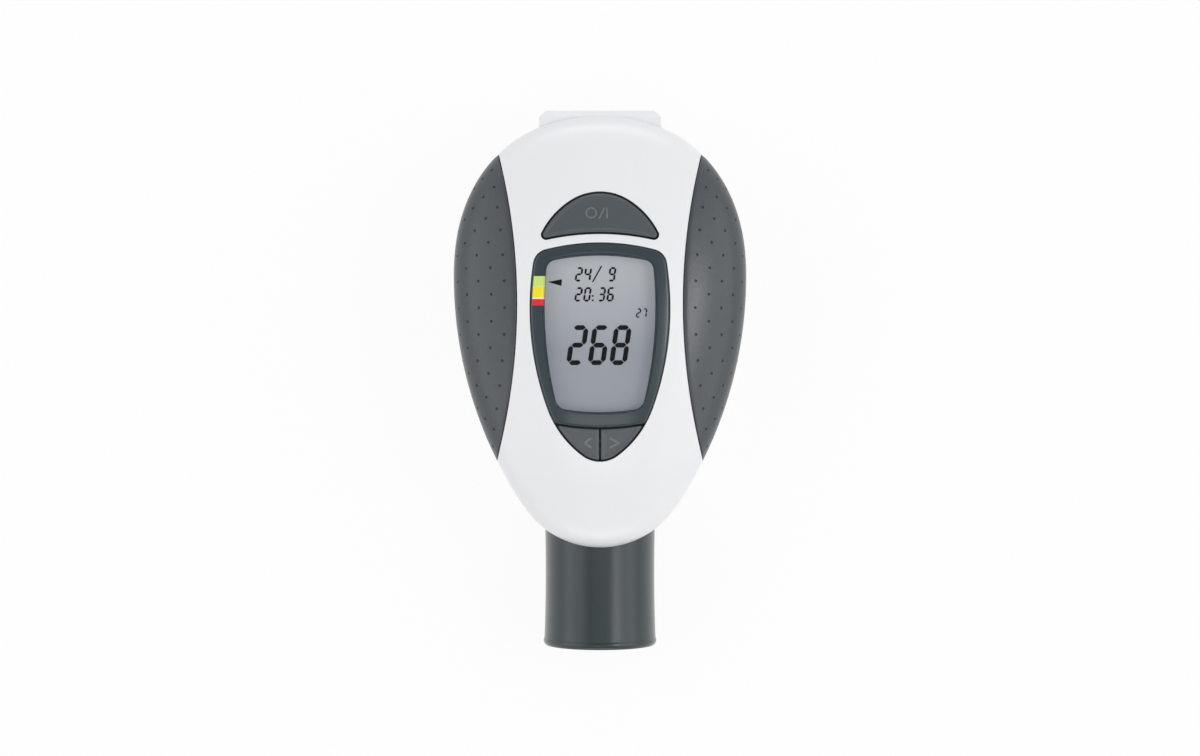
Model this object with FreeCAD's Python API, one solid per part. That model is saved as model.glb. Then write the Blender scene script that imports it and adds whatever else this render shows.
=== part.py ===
import FreeCAD
import Part

import math
import os

from FreeCAD import Vector

# Electronic peak flow meter, lying on its back.
# Millimetres. +X is the right of the display, +Y points to the exhaust end, +Z is up out of the display.
# The origin is on the table, under the middle of the overall length.

# Overall length and the line of the air tube
TOTAL_LENGTH = 144.0
TUBE_AXIS_Z = 17.4
MOUTH_END_Y = -TOTAL_LENGTH / 2
EXHAUST_END_Y = TOTAL_LENGTH / 2

# Egg-shaped body
BODY_WIDTH = 78.0
BODY_LENGTH = 114.8
CROWN_RISE = 42.6
CROWN_POWER = 2.2
FLANK_RADIUS = 109.7
COLLAR_REACH = 1.7
PARTING_Z = 33.0
PARTING_GAP = 0.1
DOME_HEIGHT = 15.06
DOME_POWER = 2.2
DOME_TOP_SHARE = 0.12
BACK_FLAT_SHARE = 0.5
CROWN_Y = EXHAUST_END_Y - COLLAR_REACH
TIP_Y = CROWN_Y - BODY_LENGTH
WIDEST_Y = CROWN_Y - CROWN_RISE
MIDDLE_Y = (CROWN_Y + TIP_Y) / 2
WALL = 2.0

# Side grips
GRIP_THICKNESS = 1.7
GRIP_GAP = 0.12
GRIP_SEAM_RADIUS = 153.7
GRIP_SEAM_X = 21.7
GRIP_SEAM_Y = 20.1
GRIP_SIDE_RADIUS = 45.0
GRIP_SIDE_SHIFT = 1.3
GRIP_LOW_Z = 9.0
GRIP_BACKING = 1.8

# Display opening, as tangent arcs of (radius, degrees) from the tip upwards
SHIELD_TIP_Y = -21.3
SHIELD_TURNS = [(7.7, 36.5), (26.6, 33.6), (77.1, 28.8), (4.2, 66.7)]
WINDOW_LOW_Y = -8.3
WINDOW_TURNS = [(57.0, 9.2), (3.0, 67.4), (105.3, 18.8), (2.6, 73.0)]
BEZEL_GAP = 0.15
BEZEL_SINK = 0.2
BEZEL_SEAT_Z = 44.2
BEZEL_LEDGE = 1.4
BEZEL_LEDGE_THICKNESS = 1.6
BEZEL_END_Y = -12.4
BEZEL_END_RADIUS = 60.0
BEVEL_REACH = 1.7
BEVEL_FOOT_Z = 46.0
BEVEL_TOP_Z = 48.3
LENS_THICKNESS = 1.2
LENS_LIP = 1.0
LENS_GAP = 0.08

# Colour zone label on the left of the display frame
LABEL_THICKNESS = 0.12
LABEL_OUTER_X = -18.2
LABEL_INNER_X = -13.9
LABEL_TOP_Y = 27.5
LABEL_LENGTH = 8.2

# Keys
KEY_GAP = 0.2
KEY_FLANGE_REACH = 0.9
KEY_FLANGE_THICKNESS = 1.1
KEY_STOP_GAP = 0.15
KEY_EDGE_RADIUS = 0.35
KEY_GUIDE_WALL = 1.4
KEY_GUIDE_FOOT_Z = 42.4
POWER_LOW_Y = 38.3
POWER_TURNS = [(65.3, -12.2), (1.2, 128.9), (21.3, 31.7)]
POWER_RISE = 0.35
ARROW_RISE = 0.05
ARROW_SPLIT = 0.45
DOME_BASE_RADIUS = 2.6
DOME_HEAD_RADIUS = 1.3
DOME_WALL = 0.5
POWER_DOME_Y = 42.5
ARROW_DOME_X = 4.6
ARROW_DOME_Y = -15.6

# Display module
LCD_HALF_WIDTH = 14.9
LCD_LOW_Y = -9.4
LCD_HIGH_Y = 34.4
LCD_THICKNESS = 2.0
LCD_TOP_GAP = 0.1
LCD_SIDE_GAP = 0.1
LCD_GLASS_STEP = 1.4
REFLECTOR_THICKNESS = 0.6
FRAME_WALL = 0.9
FRAME_LIP = 1.6
STRIP_WIDTH = 1.8
STRIP_INSET = 0.3
STRIP_END_INSET = 1.0

# Circuit board
BOARD_TOP_Z = 37.6
BOARD_THICKNESS = 1.6
BOARD_INSET = 6.0
BOARD_SHARE = 0.96
BOARD_HIGH_Y = 50.0
BOARD_SHOULDER_Y = -13.0
BOARD_LOW_Y = -26.0
BOARD_TONGUE_HALF = 13.0

# Components under the board
CHIP_Y = 22.0
CHIP_SIDE = 10.0
CHIP_HEIGHT = 1.3
LEAD_COUNT = 9
LEAD_PITCH = 1.0
LEAD_WIDTH = 0.45
LEAD_LENGTH = 1.4
LEAD_HEIGHT = 0.5
LEAD_REACH = 5.6
RADIO_Y = 41.0
RADIO_WIDTH = 12.0
RADIO_LENGTH = 15.0
RADIO_CARD = 0.8
RADIO_CAN_SIDE = 10.5
RADIO_CAN_HEIGHT = 2.2
RADIO_CAN_SHIFT = 1.5
CRYSTAL_X = 9.5
CRYSTAL_Y = 31.0
CRYSTAL_WIDTH = 3.6
CRYSTAL_LENGTH = 9.5
CRYSTAL_HEIGHT = 2.4
CRYSTAL_EDGE = 1.0

# Air tube, mouthpiece and their fits
TUBE_RADIUS = 12.8
TUBE_BORE = 11.5
TUNNEL_BORE = 13.0
TUNNEL_RADIUS = 15.0
TUNNEL_LOW_Y = -38.0
COLLAR_HALF_WIDTH = 16.2
COLLAR_START_Y = 52.0
COLLAR_CHAMFER = 1.8
TUBE_LOW_Y = -53.7
TUBE_EXHAUST_RECESS = 2.0
TUBE_KEY_WIDTH = 2.0
TUBE_KEY_HEIGHT = 1.3
TUBE_KEY_LENGTH = 7.0
TUBE_KEY_GAP = 0.2
SEAL_Y = -27.0
SEAL_SECTION = 0.5
SEAL_GROOVE_GAP = 0.1
SEAL_RUN_GAP = 0.03
MOUTH_GAP = 0.3
MOUTH_SOCKET_GAP = 0.1
MOUTH_TOP_RADIUS = 15.0
MOUTH_WAIST_RADIUS = 14.8
MOUTH_RIM_RADIUS = 15.35
MOUTH_BORE = 12.0
MOUTH_RIM_BEAD = 2.0
MOUTH_BEAD_STEP = 0.2
MOUTH_WAIST_Y = -52.0
MOUTH_LIP = 0.6
NOSE_GAP = 0.3
NOSE_FLOOR = 1.5

# Turbine
TURBINE_Y = 2.0
SWIRL_LENGTH = 8.0
SWIRL_GAP = 1.2
SWIRL_HUB_RADIUS = 3.2
SWIRL_VANES = 6
SWIRL_TWIST = 34.0
SWIRL_VANE_THICKNESS = 0.8
SWIRL_RING = 0.8
SWIRL_FIT_GAP = 0.03
ROTOR_LENGTH = 9.0
ROTOR_RADIUS = 10.2
ROTOR_THICKNESS = 0.5
ROTOR_HUB_RADIUS = 1.1
ROTOR_CORNER = 1.2
SHAFT_RADIUS = 0.5
SHAFT_RUN_GAP = 0.04
SHAFT_END_GAP = 0.2
BEARING_RADIUS = 1.4
BEARING_LENGTH = 1.6
BEARING_WALL = 0.5

# Optical pick-up beside the tube
SENSOR_ANGLE = 40.0
SENSOR_RADIUS = 1.5
SENSOR_GAP = 0.1
SENSOR_TUBE_GAP = 0.5
SENSOR_LENGTH = 4.2
SENSOR_BOSS_WALL = 1.1
SENSOR_BOSS_SINK = 0.5
SENSOR_BOSS_SHORT = 0.8
SENSOR_LEG_RADIUS = 0.25
SENSOR_LEG_SPREAD = 1.27
SENSOR_LEG_SINK = 0.6

# Batteries, size AAA
CELL_RADIUS = 5.25
CELL_LENGTH = 44.5
CELL_NUB_RADIUS = 1.9
CELL_NUB_LENGTH = 0.9
CELL_RIM_RADIUS = 0.5
CELL_X = 21.6
CELL_Z = 13.4
CELL_MIDDLE_Y = 20.0
CELL_SIDE_GAP = 0.45
CELL_SPRING_LENGTH = 5.4
CELL_PLATE = 0.4
CELL_PLATE_INSET = 1.0
CELL_PLATE_DOOR_GAP = 0.3
CELL_WALL = 1.3
STRAP_WIDTH = 2.0
STRAP_GAP = 0.2
SPRING_WIRE = 0.32
SPRING_TURNS = 4
SPRING_RADIUS = 3.0
SPRING_FLARE = 6.0

# Battery door
DOOR_SINK = 0.3
DOOR_THICKNESS = 1.7
DOOR_GAP = 0.25
DOOR_OVERLAP = 1.2
DOOR_CORNER = 4.0
TONGUE_X = 12.0
TONGUE_WIDTH = 4.0
TONGUE_THICKNESS = 1.0
TONGUE_INSET = 1.0
TONGUE_TOP_Z = 4.3
TONGUE_BEAD = 0.18
NOTCH_RADIUS = 9.0
NOTCH_DEPTH = 1.2

# Fasteners
CASE_SCREWS = [(20.0, 55.0), (19.0, -19.5)]
CASE_SCREW_SEAT_Z = 24.0
CASE_SCREW_LENGTH = 13.0
BOARD_SCREWS = [(17.5, 47.0), (25.0, 3.0)]
BOARD_SCREW_LENGTH = 5.0
SCREW_RADIUS = 1.0
SCREW_HEAD_RADIUS = 2.0
SCREW_HEAD_HEIGHT = 1.3
SCREW_SLOT_WIDTH = 0.6
SCREW_SLOT_DEPTH = 0.7
SCREW_SLOT_SHARE = 0.7
SCREW_CLEARANCE = 0.15
SCREW_HEAD_GAP = 0.3
SCREW_WELL_WALL = 0.8
PILOT_GAP = 0.02
PILOT_DEPTH = 1.0
BOSS_WALL = 1.6

# Size of cutting blocks, and how far two blocks run into each other
FAR = 200.0
OVERRUN = 1.0


# Plain helpers

def box(x0, x1, y0, y1, z0, z1):
    """Box between two corners."""
    return Part.makeBox(x1 - x0, y1 - y0, z1 - z0, Vector(x0, y0, z0))


def rod(radius, start, direction, length):
    """Cylinder from a start point along a direction."""
    return Part.makeCylinder(radius, length, Vector(*start), Vector(*direction))


def tube_rod(radius, y0, y1):
    """Cylinder on the air tube's own axis."""
    return rod(radius, (0, y0, TUBE_AXIS_Z), (0, 1, 0), y1 - y0)


def mirrored(shape):
    """Copy of a shape on the other side of the middle plane."""
    return shape.mirror(Vector(0, 0, 0), Vector(1, 0, 0))


def joined(shapes):
    """One solid from several, with every face left as it is."""
    return shapes[0].multiFuse(shapes[1:])


def fused(shapes):
    """One solid from several plain ones, with faces in one plane merged."""
    return joined(shapes).removeSplitter()


def tangent_outline(start_y, turns, z, inset=0.0):
    """Closed wire, symmetric about the Y axis, made of tangent arcs.

    It starts on the axis heading +X. A positive angle turns left. An arc centred on the axis closes the top.
    """
    x = 0.0
    y = start_y + inset
    heading = 0.0
    arcs = []
    for radius, degrees in turns:
        side = math.copysign(1.0, degrees)
        r = radius - side * inset
        cx = x - side * r * math.sin(heading)
        cy = y + side * r * math.cos(heading)
        points = []
        for share in (0.0, 0.5, 1.0):
            h = heading + share * math.radians(degrees)
            points.append((cx + side * r * math.sin(h), cy - side * r * math.cos(h)))
        arcs.append(points)
        x, y = points[-1]
        heading += math.radians(degrees)
    crown_radius = x / math.sin(heading)
    crown_top = y + crown_radius * (1 + math.cos(heading))
    edges = []
    for points in arcs:
        edges.append(Part.Arc(*[Vector(px, py, z) for px, py in points]).toShape())
    edges.append(Part.Arc(Vector(x, y, z), Vector(0, crown_top, z), Vector(-x, y, z)).toShape())
    for points in reversed(arcs):
        edges.append(Part.Arc(*[Vector(-px, py, z) for px, py in reversed(points)]).toShape())
    return Part.Wire(edges)


def outline_prism(start_y, turns, z0, z1, inset=0.0):
    """Straight-sided solid over a tangent-arc outline."""
    face = Part.Face(tangent_outline(start_y, turns, z0, inset))
    return face.extrude(Vector(0, 0, z1 - z0))


def rounded_prism(half_x, y0, y1, z0, z1, corner):
    """Upright block with rounded vertical corners."""
    block = box(-half_x, half_x, y0, y1, z0, z1)
    uprights = [e for e in block.Edges if abs(e.Vertexes[0].Z - e.Vertexes[1].Z) > (z1 - z0) / 2]
    return block.makeFillet(corner, uprights)


# Egg-shaped body

def tip_radius():
    """Radius of the tip arc that is tangent to both flank arcs."""
    drop = WIDEST_Y - TIP_Y
    side = FLANK_RADIUS - BODY_WIDTH / 2
    return (FLANK_RADIUS ** 2 - side ** 2 - drop ** 2) / (2 * (FLANK_RADIUS - drop))


def egg_half(inset):
    """Right half of the egg outline from tip to crown, as points on its arcs and its crown curve."""
    r_tip = tip_radius()
    flank_x = BODY_WIDTH / 2 - FLANK_RADIUS
    tip_centre_y = TIP_Y + r_tip
    join = math.atan2(WIDEST_Y - tip_centre_y, -flank_x)
    points = []
    tip_steps = 5
    for i in range(tip_steps):
        a = -math.pi / 2 + (math.pi / 2 - join) * i / tip_steps
        points.append((math.cos(a) * (r_tip - inset), tip_centre_y + math.sin(a) * (r_tip - inset)))
    flank_steps = 5
    for i in range(flank_steps):
        a = -join * (1 - i / flank_steps)
        r = FLANK_RADIUS - inset
        points.append((flank_x + math.cos(a) * r, WIDEST_Y + math.sin(a) * r))
    crown_steps = 8
    for i in range(crown_steps + 1):
        a = math.pi / 2 * i / crown_steps
        x = (BODY_WIDTH / 2 - inset) * math.cos(a) ** (2 / CROWN_POWER)
        y = WIDEST_Y + (CROWN_RISE - inset) * math.sin(a) ** (2 / CROWN_POWER)
        points.append((x, y))
    points[0] = (0.0, points[0][1])
    points[-1] = (0.0, points[-1][1])
    return points


def egg_wire(inset, share, z):
    """Smooth closed egg outline, drawn in by inset and scaled by share about the body's middle."""
    right = egg_half(inset)
    left = [(-x, y) for x, y in reversed(right[1:-1])]
    points = [Vector(share * x, MIDDLE_Y + share * (y - MIDDLE_Y), z) for x, y in right + left]
    curve = Part.BSplineCurve()
    curve.interpolate(Points=points, PeriodicFlag=True)
    return Part.Wire(curve.toShape())


def hull_levels(inset):
    """Share of the outline and height at each level, from the flat back to the top of the dome."""
    levels = []
    steps = 5
    for i in range(steps):
        a = math.pi / 2 * i / steps
        share = BACK_FLAT_SHARE + (1 - BACK_FLAT_SHARE) * math.sin(a)
        levels.append((share, PARTING_Z - (PARTING_Z - inset) * math.cos(a)))
    top = math.acos(DOME_TOP_SHARE ** (DOME_POWER / 2))
    for i in range(steps + 2):
        a = top * i / (steps + 1)
        share = math.cos(a) ** (2 / DOME_POWER)
        levels.append((share, PARTING_Z + (DOME_HEIGHT - inset) * math.sin(a) ** (2 / DOME_POWER)))
    return levels


HULLS = {}


def hull(inset):
    """Body form drawn in by inset all round."""
    key = round(inset, 4)
    if key not in HULLS:
        wires = [egg_wire(inset, share, z) for share, z in hull_levels(inset)]
        HULLS[key] = Part.makeLoft(wires, True, False)
    return HULLS[key]


def above(z):
    """Half space over a height."""
    return box(-FAR, FAR, -FAR, FAR, z, FAR)


def below(z):
    """Half space under a height."""
    return box(-FAR, FAR, -FAR, FAR, -FAR, z)


# Side grips

def grip_zone(grow):
    """Region of the left grip: right-bounded by the seam arc, bounded behind by an arc in side view."""
    seam = Part.makeCylinder(GRIP_SEAM_RADIUS + grow, 2 * FAR,
                             Vector(-GRIP_SEAM_X - GRIP_SEAM_RADIUS, GRIP_SEAM_Y, -FAR))
    side_centre = Vector(-FAR, GRIP_SEAM_Y - GRIP_SIDE_SHIFT, GRIP_LOW_Z + GRIP_SIDE_RADIUS)
    side = Part.makeCylinder(GRIP_SIDE_RADIUS + grow, 2 * FAR, side_centre, Vector(1, 0, 0))
    return seam.common(side)


def left_grip():
    """Soft side grip, wrapped over the joint of the two casing halves."""
    return hull(0).common(grip_zone(0)).cut(hull(GRIP_THICKNESS))


def grip_recess():
    """Space for both grips in the casing, with its gap."""
    recess = grip_zone(GRIP_GAP).cut(hull(GRIP_THICKNESS + GRIP_GAP))
    return [recess, mirrored(recess)]


def cavity():
    """Inside of the casing: one wall in from the surface, and stepped in again behind the grips."""
    backing = grip_zone(GRIP_BACKING)
    wide = hull(WALL).cut(backing).cut(mirrored(backing))
    return wide.fuse(hull(GRIP_THICKNESS + GRIP_BACKING))


# Casing halves

def case_screw_places():
    """Left and right place of each casing screw."""
    return [(side * x, y) for x, y in CASE_SCREWS for side in (-1, 1)]


def board_screw_places():
    """Left and right place of each board screw."""
    return [(side * x, y) for x, y in BOARD_SCREWS for side in (-1, 1)]


def bezel_end(radius):
    """Cylinder whose lower side is the curved joint between the display frame and the arrow keys."""
    return rod(radius, (0, BEZEL_END_Y + BEZEL_END_RADIUS, 0), (0, 0, 1), FAR)


def nose():
    """Tip of the front shell that straddles the upper end of the mouthpiece."""
    block = hull(0).common(box(-FAR, FAR, -FAR, TUNNEL_LOW_Y - PARTING_GAP, 0, PARTING_Z + NOSE_FLOOR))
    return block.cut(tube_rod(MOUTH_TOP_RADIUS + NOSE_GAP, -FAR, FAR))


def front_casing():
    """White front shell with its openings, ledge, key guides and screw bosses."""
    shell = hull(0).common(above(PARTING_Z)).cut(cavity())
    ledge_foot = BEZEL_SEAT_Z - BEZEL_LEDGE_THICKNESS
    ring = outline_prism(SHIELD_TIP_Y, SHIELD_TURNS, ledge_foot, FAR, -KEY_GUIDE_WALL)
    guide = outline_prism(POWER_LOW_Y, POWER_TURNS, KEY_GUIDE_FOOT_Z, FAR, -KEY_GUIDE_WALL - KEY_GAP)
    adds = [nose(), ring.common(hull(WALL / 4)), guide.common(hull(WALL / 4))]
    pilot = SCREW_RADIUS + PILOT_GAP
    for x, y in case_screw_places():
        adds.append(rod(pilot + BOSS_WALL, (x, y, PARTING_Z), (0, 0, 1), FAR).common(hull(WALL / 2)))
    for x, y in board_screw_places():
        adds.append(rod(pilot + BOSS_WALL, (x, y, BOARD_TOP_Z), (0, 0, 1), FAR).common(hull(WALL / 2)))
    shell = shell.multiFuse(adds)
    open_all = outline_prism(SHIELD_TIP_Y, SHIELD_TURNS, 0, FAR, BEZEL_LEDGE)
    open_keys = outline_prism(SHIELD_TIP_Y, SHIELD_TURNS, 0, FAR).cut(bezel_end(BEZEL_END_RADIUS))
    open_top = outline_prism(SHIELD_TIP_Y, SHIELD_TURNS, BEZEL_SEAT_Z, FAR)
    open_power = outline_prism(POWER_LOW_Y, POWER_TURNS, 0, FAR, -KEY_GAP)
    cuts = [open_all, open_keys, open_top, open_power] + grip_recess()
    case_pilot_top = CASE_SCREW_SEAT_Z + CASE_SCREW_LENGTH + PILOT_DEPTH
    board_pilot_top = BOARD_TOP_Z - BOARD_THICKNESS + BOARD_SCREW_LENGTH + PILOT_DEPTH
    for x, y in case_screw_places():
        cuts.append(rod(pilot, (x, y, 0), (0, 0, 1), case_pilot_top))
    for x, y in board_screw_places():
        cuts.append(rod(pilot, (x, y, 0), (0, 0, 1), board_pilot_top))
    return shell.cut(cuts)


def cell_pocket_ends():
    """Y of both ends of a battery compartment."""
    length = CELL_LENGTH + CELL_SPRING_LENGTH + 2 * CELL_PLATE
    return CELL_MIDDLE_Y - length / 2, CELL_MIDDLE_Y + length / 2


def cell_pocket(grow, foot_z, roof):
    """Space of the right battery compartment, grown sideways."""
    low, high = cell_pocket_ends()
    reach = CELL_RADIUS + CELL_SIDE_GAP + grow
    return box(CELL_X - reach, CELL_X + reach, low - grow, high + grow, foot_z, roof + grow)


def door_prism(grow, z0, z1):
    """Outline of the battery door as an upright block."""
    low, high = cell_pocket_ends()
    half = CELL_X + CELL_RADIUS + CELL_SIDE_GAP + DOOR_OVERLAP + grow
    return rounded_prism(half, low - DOOR_OVERLAP - grow, high + DOOR_OVERLAP + grow, z0, z1, DOOR_CORNER)


def exhaust_collar():
    """D-shaped end of the tunnel that shows past the crown."""
    half = COLLAR_HALF_WIDTH
    top = PARTING_Z - PARTING_GAP
    length = EXHAUST_END_Y - COLLAR_START_Y
    round_part = rod(half, (0, COLLAR_START_Y, TUBE_AXIS_Z), (0, 1, 0), length)
    square_part = box(-half, half, COLLAR_START_Y, EXHAUST_END_Y, TUBE_AXIS_Z, top)
    block = fused([round_part.common(below(TUBE_AXIS_Z)), square_part])
    rim = [e for e in block.Edges
           if all(abs(v.Y - EXHAUST_END_Y) < 0.01 for v in e.Vertexes)]
    block = block.makeChamfer(COLLAR_CHAMFER, rim)
    return block


def sensor_rod(radius, near, far, side):
    """Rod pointing at the tube axis from the pick-up's angle."""
    a = math.radians(SENSOR_ANGLE) * side
    direction = (math.sin(a), 0, math.cos(a))
    start = (near * direction[0], TURBINE_Y, TUBE_AXIS_Z + near * direction[2])
    return rod(radius, start, direction, far - near)


def rear_casing():
    """White rear shell with the tube tunnel, battery compartments, door seat and screw bosses."""
    shell = hull(0).common(below(PARTING_Z)).cut(cavity())
    low, high = cell_pocket_ends()
    roof = CELL_Z + CELL_RADIUS + CELL_SIDE_GAP
    adds = [tube_rod(TUNNEL_RADIUS, TUNNEL_LOW_Y, COLLAR_START_Y + OVERRUN), exhaust_collar()]
    seat = door_prism(CELL_WALL, -OVERRUN, PARTING_Z).common(hull(DOOR_SINK)).cut(
        hull(DOOR_SINK + DOOR_THICKNESS + CELL_WALL))
    adds.append(seat)
    for block in (cell_pocket(CELL_WALL, 0, roof), mirrored(cell_pocket(CELL_WALL, 0, roof))):
        adds.append(block.common(hull(DOOR_SINK)))
    well = SCREW_HEAD_RADIUS + SCREW_HEAD_GAP
    for x, y in case_screw_places():
        boss = rod(well + SCREW_WELL_WALL, (x, y, 0), (0, 0, 1), PARTING_Z - PARTING_GAP)
        adds.append(boss.common(hull(WALL / 4)))
    for side in (-1, 1):
        adds.append(sensor_rod(SENSOR_RADIUS + SENSOR_BOSS_WALL, TUNNEL_BORE + SENSOR_BOSS_SINK,
                               TUNNEL_BORE + SENSOR_LENGTH - SENSOR_BOSS_SHORT, side))
    shell = shell.multiFuse(adds)
    cuts = [tube_rod(TUNNEL_BORE, -FAR, FAR), box(-FAR, FAR, -FAR, TUNNEL_LOW_Y, 0, FAR)]
    cuts.append(door_prism(DOOR_GAP, -FAR, PARTING_Z).cut(hull(DOOR_SINK + DOOR_THICKNESS)))
    pocket = cell_pocket(0, -FAR, roof)
    cuts += [pocket, mirrored(pocket)]
    for x, y in case_screw_places():
        cuts.append(rod(well, (x, y, -FAR), (0, 0, 1), FAR + CASE_SCREW_SEAT_Z))
        cuts.append(rod(SCREW_RADIUS + SCREW_CLEARANCE, (x, y, 0), (0, 0, 1), FAR))
    for side in (-1, 1):
        cuts.append(sensor_rod(SENSOR_RADIUS + SENSOR_GAP, TUNNEL_BORE - OVERRUN, FAR, side))
        cuts.append(Part.makeSphere(NOTCH_RADIUS, Vector(0, door_end_y(side), NOTCH_DEPTH - NOTCH_RADIUS)))
    cuts += [door_tongue(x, end, DOOR_GAP) for x, end in tongue_places()]
    for x, y, wall_side in plate_places():
        cuts.append(strap_box(x, y, wall_side, STRAP_GAP, CELL_Z, FAR))
    key_half = TUBE_KEY_WIDTH / 2 + TUBE_KEY_GAP
    key_top = TUBE_RADIUS + TUBE_KEY_HEIGHT + TUBE_KEY_GAP
    cuts.append(box(-key_half, key_half, TUNNEL_LOW_Y - OVERRUN, TUNNEL_LOW_Y + TUBE_KEY_LENGTH + 2 * TUBE_KEY_GAP,
                    TUBE_AXIS_Z - key_top, TUBE_AXIS_Z))
    cuts += grip_recess()
    return shell.cut(cuts)


# Battery door

def door_end_y(end):
    """Y of the door's lower end (-1) or upper end (1)."""
    low, high = cell_pocket_ends()
    return high + DOOR_OVERLAP if end > 0 else low - DOOR_OVERLAP


def tongue_places():
    """X and end of each of the door's four snap tongues."""
    return [(side * TONGUE_X, end) for side in (-1, 1) for end in (-1, 1)]


def door_tongue(x, end, grow):
    """Upright snap tongue of the door, grown for its slot in the casing."""
    outer_y = door_end_y(end) - end * (TONGUE_INSET - grow)
    inner_y = door_end_y(end) - end * (TONGUE_INSET + TONGUE_THICKNESS + grow)
    half = TONGUE_WIDTH / 2 + grow
    return box(x - half, x + half, min(outer_y, inner_y), max(outer_y, inner_y),
               DOOR_SINK + DOOR_THICKNESS / 2, TONGUE_TOP_Z + grow)


def tongue_bead(x, end):
    """Small snap bead across a tongue's outer face."""
    radius = TONGUE_THICKNESS / 2
    y = door_end_y(end) - end * (TONGUE_INSET - TONGUE_BEAD + radius)
    return rod(radius, (x - TONGUE_WIDTH / 2, y, TONGUE_TOP_Z - 2 * radius), (1, 0, 0), TONGUE_WIDTH)


def battery_door():
    """Cover over both battery compartments, curved like the back, with four snap tongues."""
    shell = door_prism(0, -FAR, PARTING_Z).common(hull(DOOR_SINK)).cut(hull(DOOR_SINK + DOOR_THICKNESS))
    snaps = [door_tongue(x, end, 0) for x, end in tongue_places()]
    snaps += [tongue_bead(x, end) for x, end in tongue_places()]
    return joined([shell] + snaps)


# Display parts

def bezel_blank(sink, bevel_rise):
    """Display frame before the lens seat is cut, with its surface sunk below the dome."""
    blank = outline_prism(SHIELD_TIP_Y, SHIELD_TURNS, BEZEL_SEAT_Z, FAR, BEZEL_GAP)
    blank = blank.common(hull(sink)).common(bezel_end(BEZEL_END_RADIUS))
    foot = tangent_outline(WINDOW_LOW_Y, WINDOW_TURNS, BEVEL_FOOT_Z + bevel_rise)
    top = tangent_outline(WINDOW_LOW_Y, WINDOW_TURNS, BEVEL_TOP_Z + bevel_rise, -BEVEL_REACH)
    bevel = Part.makeLoft([foot, top], True, True)
    opening = outline_prism(WINDOW_LOW_Y, WINDOW_TURNS, 0, BEVEL_FOOT_Z + bevel_rise)
    return blank.cut(bevel).cut(opening)


def display_bezel():
    """Dark frame round the display, with a bevel down to the window."""
    seat_top = BEZEL_SEAT_Z + LENS_THICKNESS + LENS_GAP
    seat = outline_prism(WINDOW_LOW_Y, WINDOW_TURNS, 0, seat_top, -LENS_LIP - LENS_GAP)
    return bezel_blank(BEZEL_SINK, 0).cut(seat)


def display_window():
    """Clear lens behind the frame."""
    return outline_prism(WINDOW_LOW_Y, WINDOW_TURNS, BEZEL_SEAT_Z, BEZEL_SEAT_Z + LENS_THICKNESS, -LENS_LIP)


def zone_label():
    """Colour zone label laid on the left side of the display frame and its bevel."""
    skin = bezel_blank(BEZEL_SINK - LABEL_THICKNESS, LABEL_THICKNESS).cut(bezel_blank(BEZEL_SINK, 0))
    return skin.common(box(LABEL_OUTER_X, LABEL_INNER_X, LABEL_TOP_Y - LABEL_LENGTH, LABEL_TOP_Y, 0, FAR))


def lcd_top_z():
    """Top of the display glass, just under the ledge that holds the frame."""
    return BEZEL_SEAT_Z - BEZEL_LEDGE_THICKNESS - LCD_TOP_GAP


def lcd_glass():
    """Two glass plates; the lower one is longer and carries the contact row."""
    top = lcd_top_z()
    half = LCD_THICKNESS / 2
    upper = box(-LCD_HALF_WIDTH, LCD_HALF_WIDTH, LCD_LOW_Y, LCD_HIGH_Y - LCD_GLASS_STEP, top - half, top)
    lower = box(-LCD_HALF_WIDTH, LCD_HALF_WIDTH, LCD_LOW_Y, LCD_HIGH_Y, top - LCD_THICKNESS, top - half)
    return fused([upper, lower])


def reflector_foot_z():
    """Underside of the reflector sheet."""
    return lcd_top_z() - LCD_THICKNESS - REFLECTOR_THICKNESS


def lcd_reflector():
    """White sheet behind the display glass."""
    foot = reflector_foot_z()
    return box(-LCD_HALF_WIDTH, LCD_HALF_WIDTH, LCD_LOW_Y, LCD_HIGH_Y - LCD_GLASS_STEP - STRIP_WIDTH,
               foot, foot + REFLECTOR_THICKNESS)


def lcd_frame():
    """Moulded holder that spaces the display off the board."""
    half = LCD_HALF_WIDTH + FRAME_WALL
    outer = box(-half, half, LCD_LOW_Y - FRAME_WALL, LCD_HIGH_Y + FRAME_WALL,
                BOARD_TOP_Z, lcd_top_z() - LCD_THICKNESS / 2)
    seat = LCD_HALF_WIDTH + LCD_SIDE_GAP
    glass = box(-seat, seat, LCD_LOW_Y - LCD_SIDE_GAP, LCD_HIGH_Y + LCD_SIDE_GAP, reflector_foot_z(), FAR)
    middle = box(-LCD_HALF_WIDTH + FRAME_LIP, LCD_HALF_WIDTH - FRAME_LIP, LCD_LOW_Y + FRAME_LIP,
                 LCD_HIGH_Y - LCD_GLASS_STEP - STRIP_WIDTH - FRAME_LIP, 0, FAR)
    slot = contact_strip_box(LCD_SIDE_GAP, 0, FAR)
    return outer.cut(glass).cut(middle).cut(slot)


def contact_strip_box(grow, z0, z1):
    """Place of the rubber contact strip, under the display's contact row."""
    high = LCD_HIGH_Y - STRIP_INSET
    half = LCD_HALF_WIDTH - STRIP_END_INSET + grow
    return box(-half, half, high - STRIP_WIDTH - grow, high + grow, z0, z1)


def contact_strip():
    """Layered rubber strip that joins the display to the board."""
    return contact_strip_box(0, BOARD_TOP_Z, lcd_top_z() - LCD_THICKNESS)


# Circuit board and what is on it

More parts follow.
